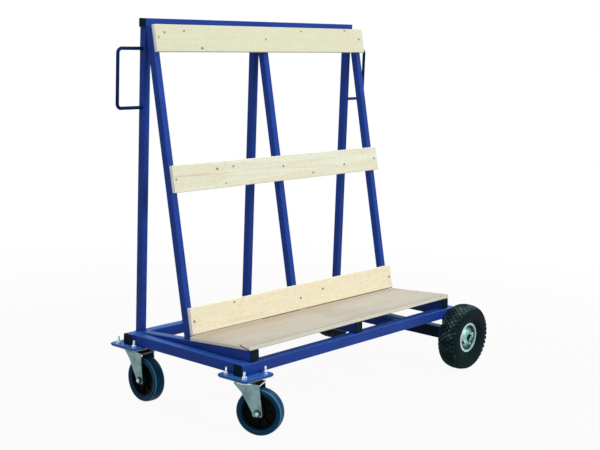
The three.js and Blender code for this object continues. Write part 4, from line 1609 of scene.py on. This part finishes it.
    def tread(
        self, name: str, block: Block, rows: Sequence[TreadRow], count: int, spin: float
    ) -> None:
        """Sets rows of blocks round the tyre.

        Args:
            name: The piece's name without its side.
            block: One block.
            rows: Offset from the tread's middle and radius, both in millimetres, lean to the shoulder in
                degrees, and start as a share of the step between blocks.
            count: Blocks in a row.
            spin: Turn of each block about its own axis, in radians.
        """
        places = []
        for across, radius, tilt, start in rows:
            lean = math.copysign(math.radians(tilt), across)
            stand = Matrix.Rotation(math.pi / 2 - lean, 4, "Y") @ Matrix.Rotation(spin, 4, "Z")
            foot = Matrix.Translation((radius * MM, 0, across * MM))
            for index in range(count):
                turn = Matrix.Rotation(FULL_TURN * (index + start) / count, 4, "Z")
                places.append(self.where @ turn @ foot @ stand)
        mesh, home = block.mesh(name), (self.body, "tyre")
        self.scatter(f"{name}_{self.side}", mesh, places, self.finishes.tread, home)

    def fixings(self) -> None:
        """The rim's bolts and the valve."""
        tilt = Matrix.Rotation(math.radians(self.bolt_lean), 4, "Y")
        seat = Matrix.Translation(Vector(self.bolt_seat) * MM) @ tilt
        turns = [FULL_TURN * (index + self.bolt_phase) / self.bolts for index in range(self.bolts)]
        places = [self.where @ Matrix.Rotation(turn, 4, "Z") @ seat for turn in turns]
        bolt = turned_mesh("rim_bolt", *self.bolt)
        name, home = f"rim_bolts_{self.side}", (self.body, "zinc")
        self.scatter(name, bolt, places, self.finishes.bright, home)
        turn = Matrix.Rotation(math.radians(self.valve_turn), 4, "Z")
        seat = Matrix.Translation(Vector(self.valve_seat) * MM)
        where = self.where @ turn @ seat @ Matrix.Rotation(math.radians(self.valve_lean), 4, "Y")
        valve = turned_mesh("valve", self.valve)
        name = f"valve_{self.side}"
        self.cart.place(name, valve, where, self.finishes.tyre, self.body, "tyre")

    def axle_end(self) -> None:
        """The stub axle, its washer and its split pin."""
        self.cart.refined(f"stub_axle_{self.side}", self.finishes.zinc, self.axle_edge)
        washer = turned_mesh("axle_washer", self.washer)
        name = f"axle_washer_{self.side}"
        self.cart.place(name, washer, self.where, self.finishes.plug, "frame", "black_plastic")
        turn = Matrix.Rotation(math.radians(self.pin_turn), 4, "Z")
        path = [self.where @ turn @ (Vector((x, y, self.pin_height)) * MM) for x, y in self.pin]
        name = f"split_pin_{self.side}"
        item = self.bender.bend(name, path, self.pin_wire, self.pin_bend, self.finishes.bright)
        self.cart.dress(item, "frame", "zinc")


@dataclass
class Studio:
    """Pale floor, soft lamps and the camera at the photograph's view, all in metres."""

    stand: Triple = (-2.85155, -2.59777, 1.15693)
    yaw: float = 39.83
    pitch: float = 9.56
    roll: float = -2.11
    focal_pixels: float = 1231.18
    image_width: float = 600.0
    sensor: float = 36.0
    floor_size: float = 40.0
    floor_drop: float = 0.0005
    floor_shade: float = 0.34
    floor_roughness: float = 0.9
    floor_white: float = 0.94
    plain_from: float = 1.2
    plain_to: float = 3.2
    sky: float = 0.2
    mirrored_sky: Colour = srgb(220, 250, 255)
    aim: Triple = (0, 0, 0.6)
    lamps: tuple[tuple[str, Triple, float, float], ...] = (
        ("key", (0.9, -4.2, 3.2), 150.0, 2.6),
        ("top", (-0.9, -0.4, 4.0), 52.0, 2.8),
        ("back", (-0.3, 3.0, 3.9), 76.0, 1.1),
        ("right", (3.4, 0.0, 3.0), 56.0, 1.1),
        ("side", (-3.0, -0.9, 2.8), 14.0, 2.0),
        ("low_side", (-3.0, -0.9, 0.42), 5.0, 0.8),
    )

    def build(self) -> None:
        """Builds floor, world, lamps and camera, and sets the view transform."""
        bpy.context.scene.view_settings.view_transform = "Standard"
        self.floor()
        self.world()
        for name, place, watts, size in self.lamps:
            data = bpy.data.lights.new(name, "AREA")
            data.energy = watts
            data.size = size
            item = new_object(name, data)
            item.location = place
            item.rotation_euler = (Vector(self.aim) - Vector(place)).to_track_quat("-Z", "Y").to_euler()
        self.camera()

    def floor(self) -> None:
        """A pale floor that looks white to the camera and keeps the shadow."""

        def fill(shape: BMesh) -> None:
            """A single square."""
            bmesh.ops.create_grid(shape, x_segments=1, y_segments=1, size=self.floor_size / 2)

        mesh = mesh_from("floor", fill)
        tree = ShaderTree("pale_floor")
        shade = self.floor_shade
        mesh.materials.append(tree.surface((shade, shade, shade, 1.0), self.floor_roughness, specular=0.0))
        away = tree.add("ShaderNodeVectorMath", {0: tree.position}, operation="LENGTH")["Value"]
        white = tree.span(away, self.plain_from, self.plain_to, self.floor_white, 1.0)
        share = tree.math("MULTIPLY", tree.seen()[0], white)
        glow = tree.add("ShaderNodeEmission")[0]
        shown = tree.add("ShaderNodeMixShader", {0: share, 1: tree.bsdf.outputs[0], 2: glow})[0]
        tree.join(tree.nodes["Material Output"].inputs["Surface"], shown)
        item = new_object("floor", mesh)
        item.location.z = -self.floor_drop

    def world(self) -> None:
        """A dim even sky that looks white to the camera, and slightly blue in mirrors."""
        world = bpy.data.worlds.new("studio")
        bpy.context.scene.world = world
        world.use_nodes = True
        graph = NodeGraph(world.node_tree)
        sky = graph.nodes["Background"].inputs
        seen, mirrored = graph.seen()
        graph.join(sky["Strength"], graph.span(seen, 0.0, 1.0, self.sky, 1.0))
        graph.join(sky["Color"], graph.mix(mirrored, WHITE, self.mirrored_sky))

    def camera(self) -> None:
        """The camera, from the fitted yaw, pitch and roll."""
        yaw, pitch, roll = (math.radians(angle) for angle in (self.yaw, self.pitch, self.roll))
        flat = math.cos(pitch)
        ahead = Vector((flat * math.cos(yaw), flat * math.sin(yaw), -math.sin(pitch)))
        level = Vector((math.sin(yaw), -math.cos(yaw), 0.0))
        below = ahead.cross(level)
        right = math.cos(roll) * level + math.sin(roll) * below
        down = -math.sin(roll) * level + math.cos(roll) * below
        data = bpy.data.cameras.new("photograph")
        data.sensor_width = self.sensor
        data.lens = self.focal_pixels / self.image_width * self.sensor
        item = new_object("photograph", data)
        turn = Matrix((right, -down, -ahead)).transposed().to_4x4()
        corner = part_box("front_rail")[0]
        item.matrix_world = Matrix.Translation(corner + Vector(self.stand)) @ turn
        bpy.context.scene.camera = item


def main() -> None:
    """Builds every sub-assembly and the studio."""
    logging.basicConfig(level=logging.INFO, format="%(message)s")
    kit = Cart(), Finishes(), Repeater(), RodBender()
    TubeFrame(*kit).build()
    Woodwork(*kit).build()
    for side in Side:
        Castor(*kit, side).build()
        RoadWheel(*kit, side).build()
    Studio().build()


if __name__ == "__main__":
    main()
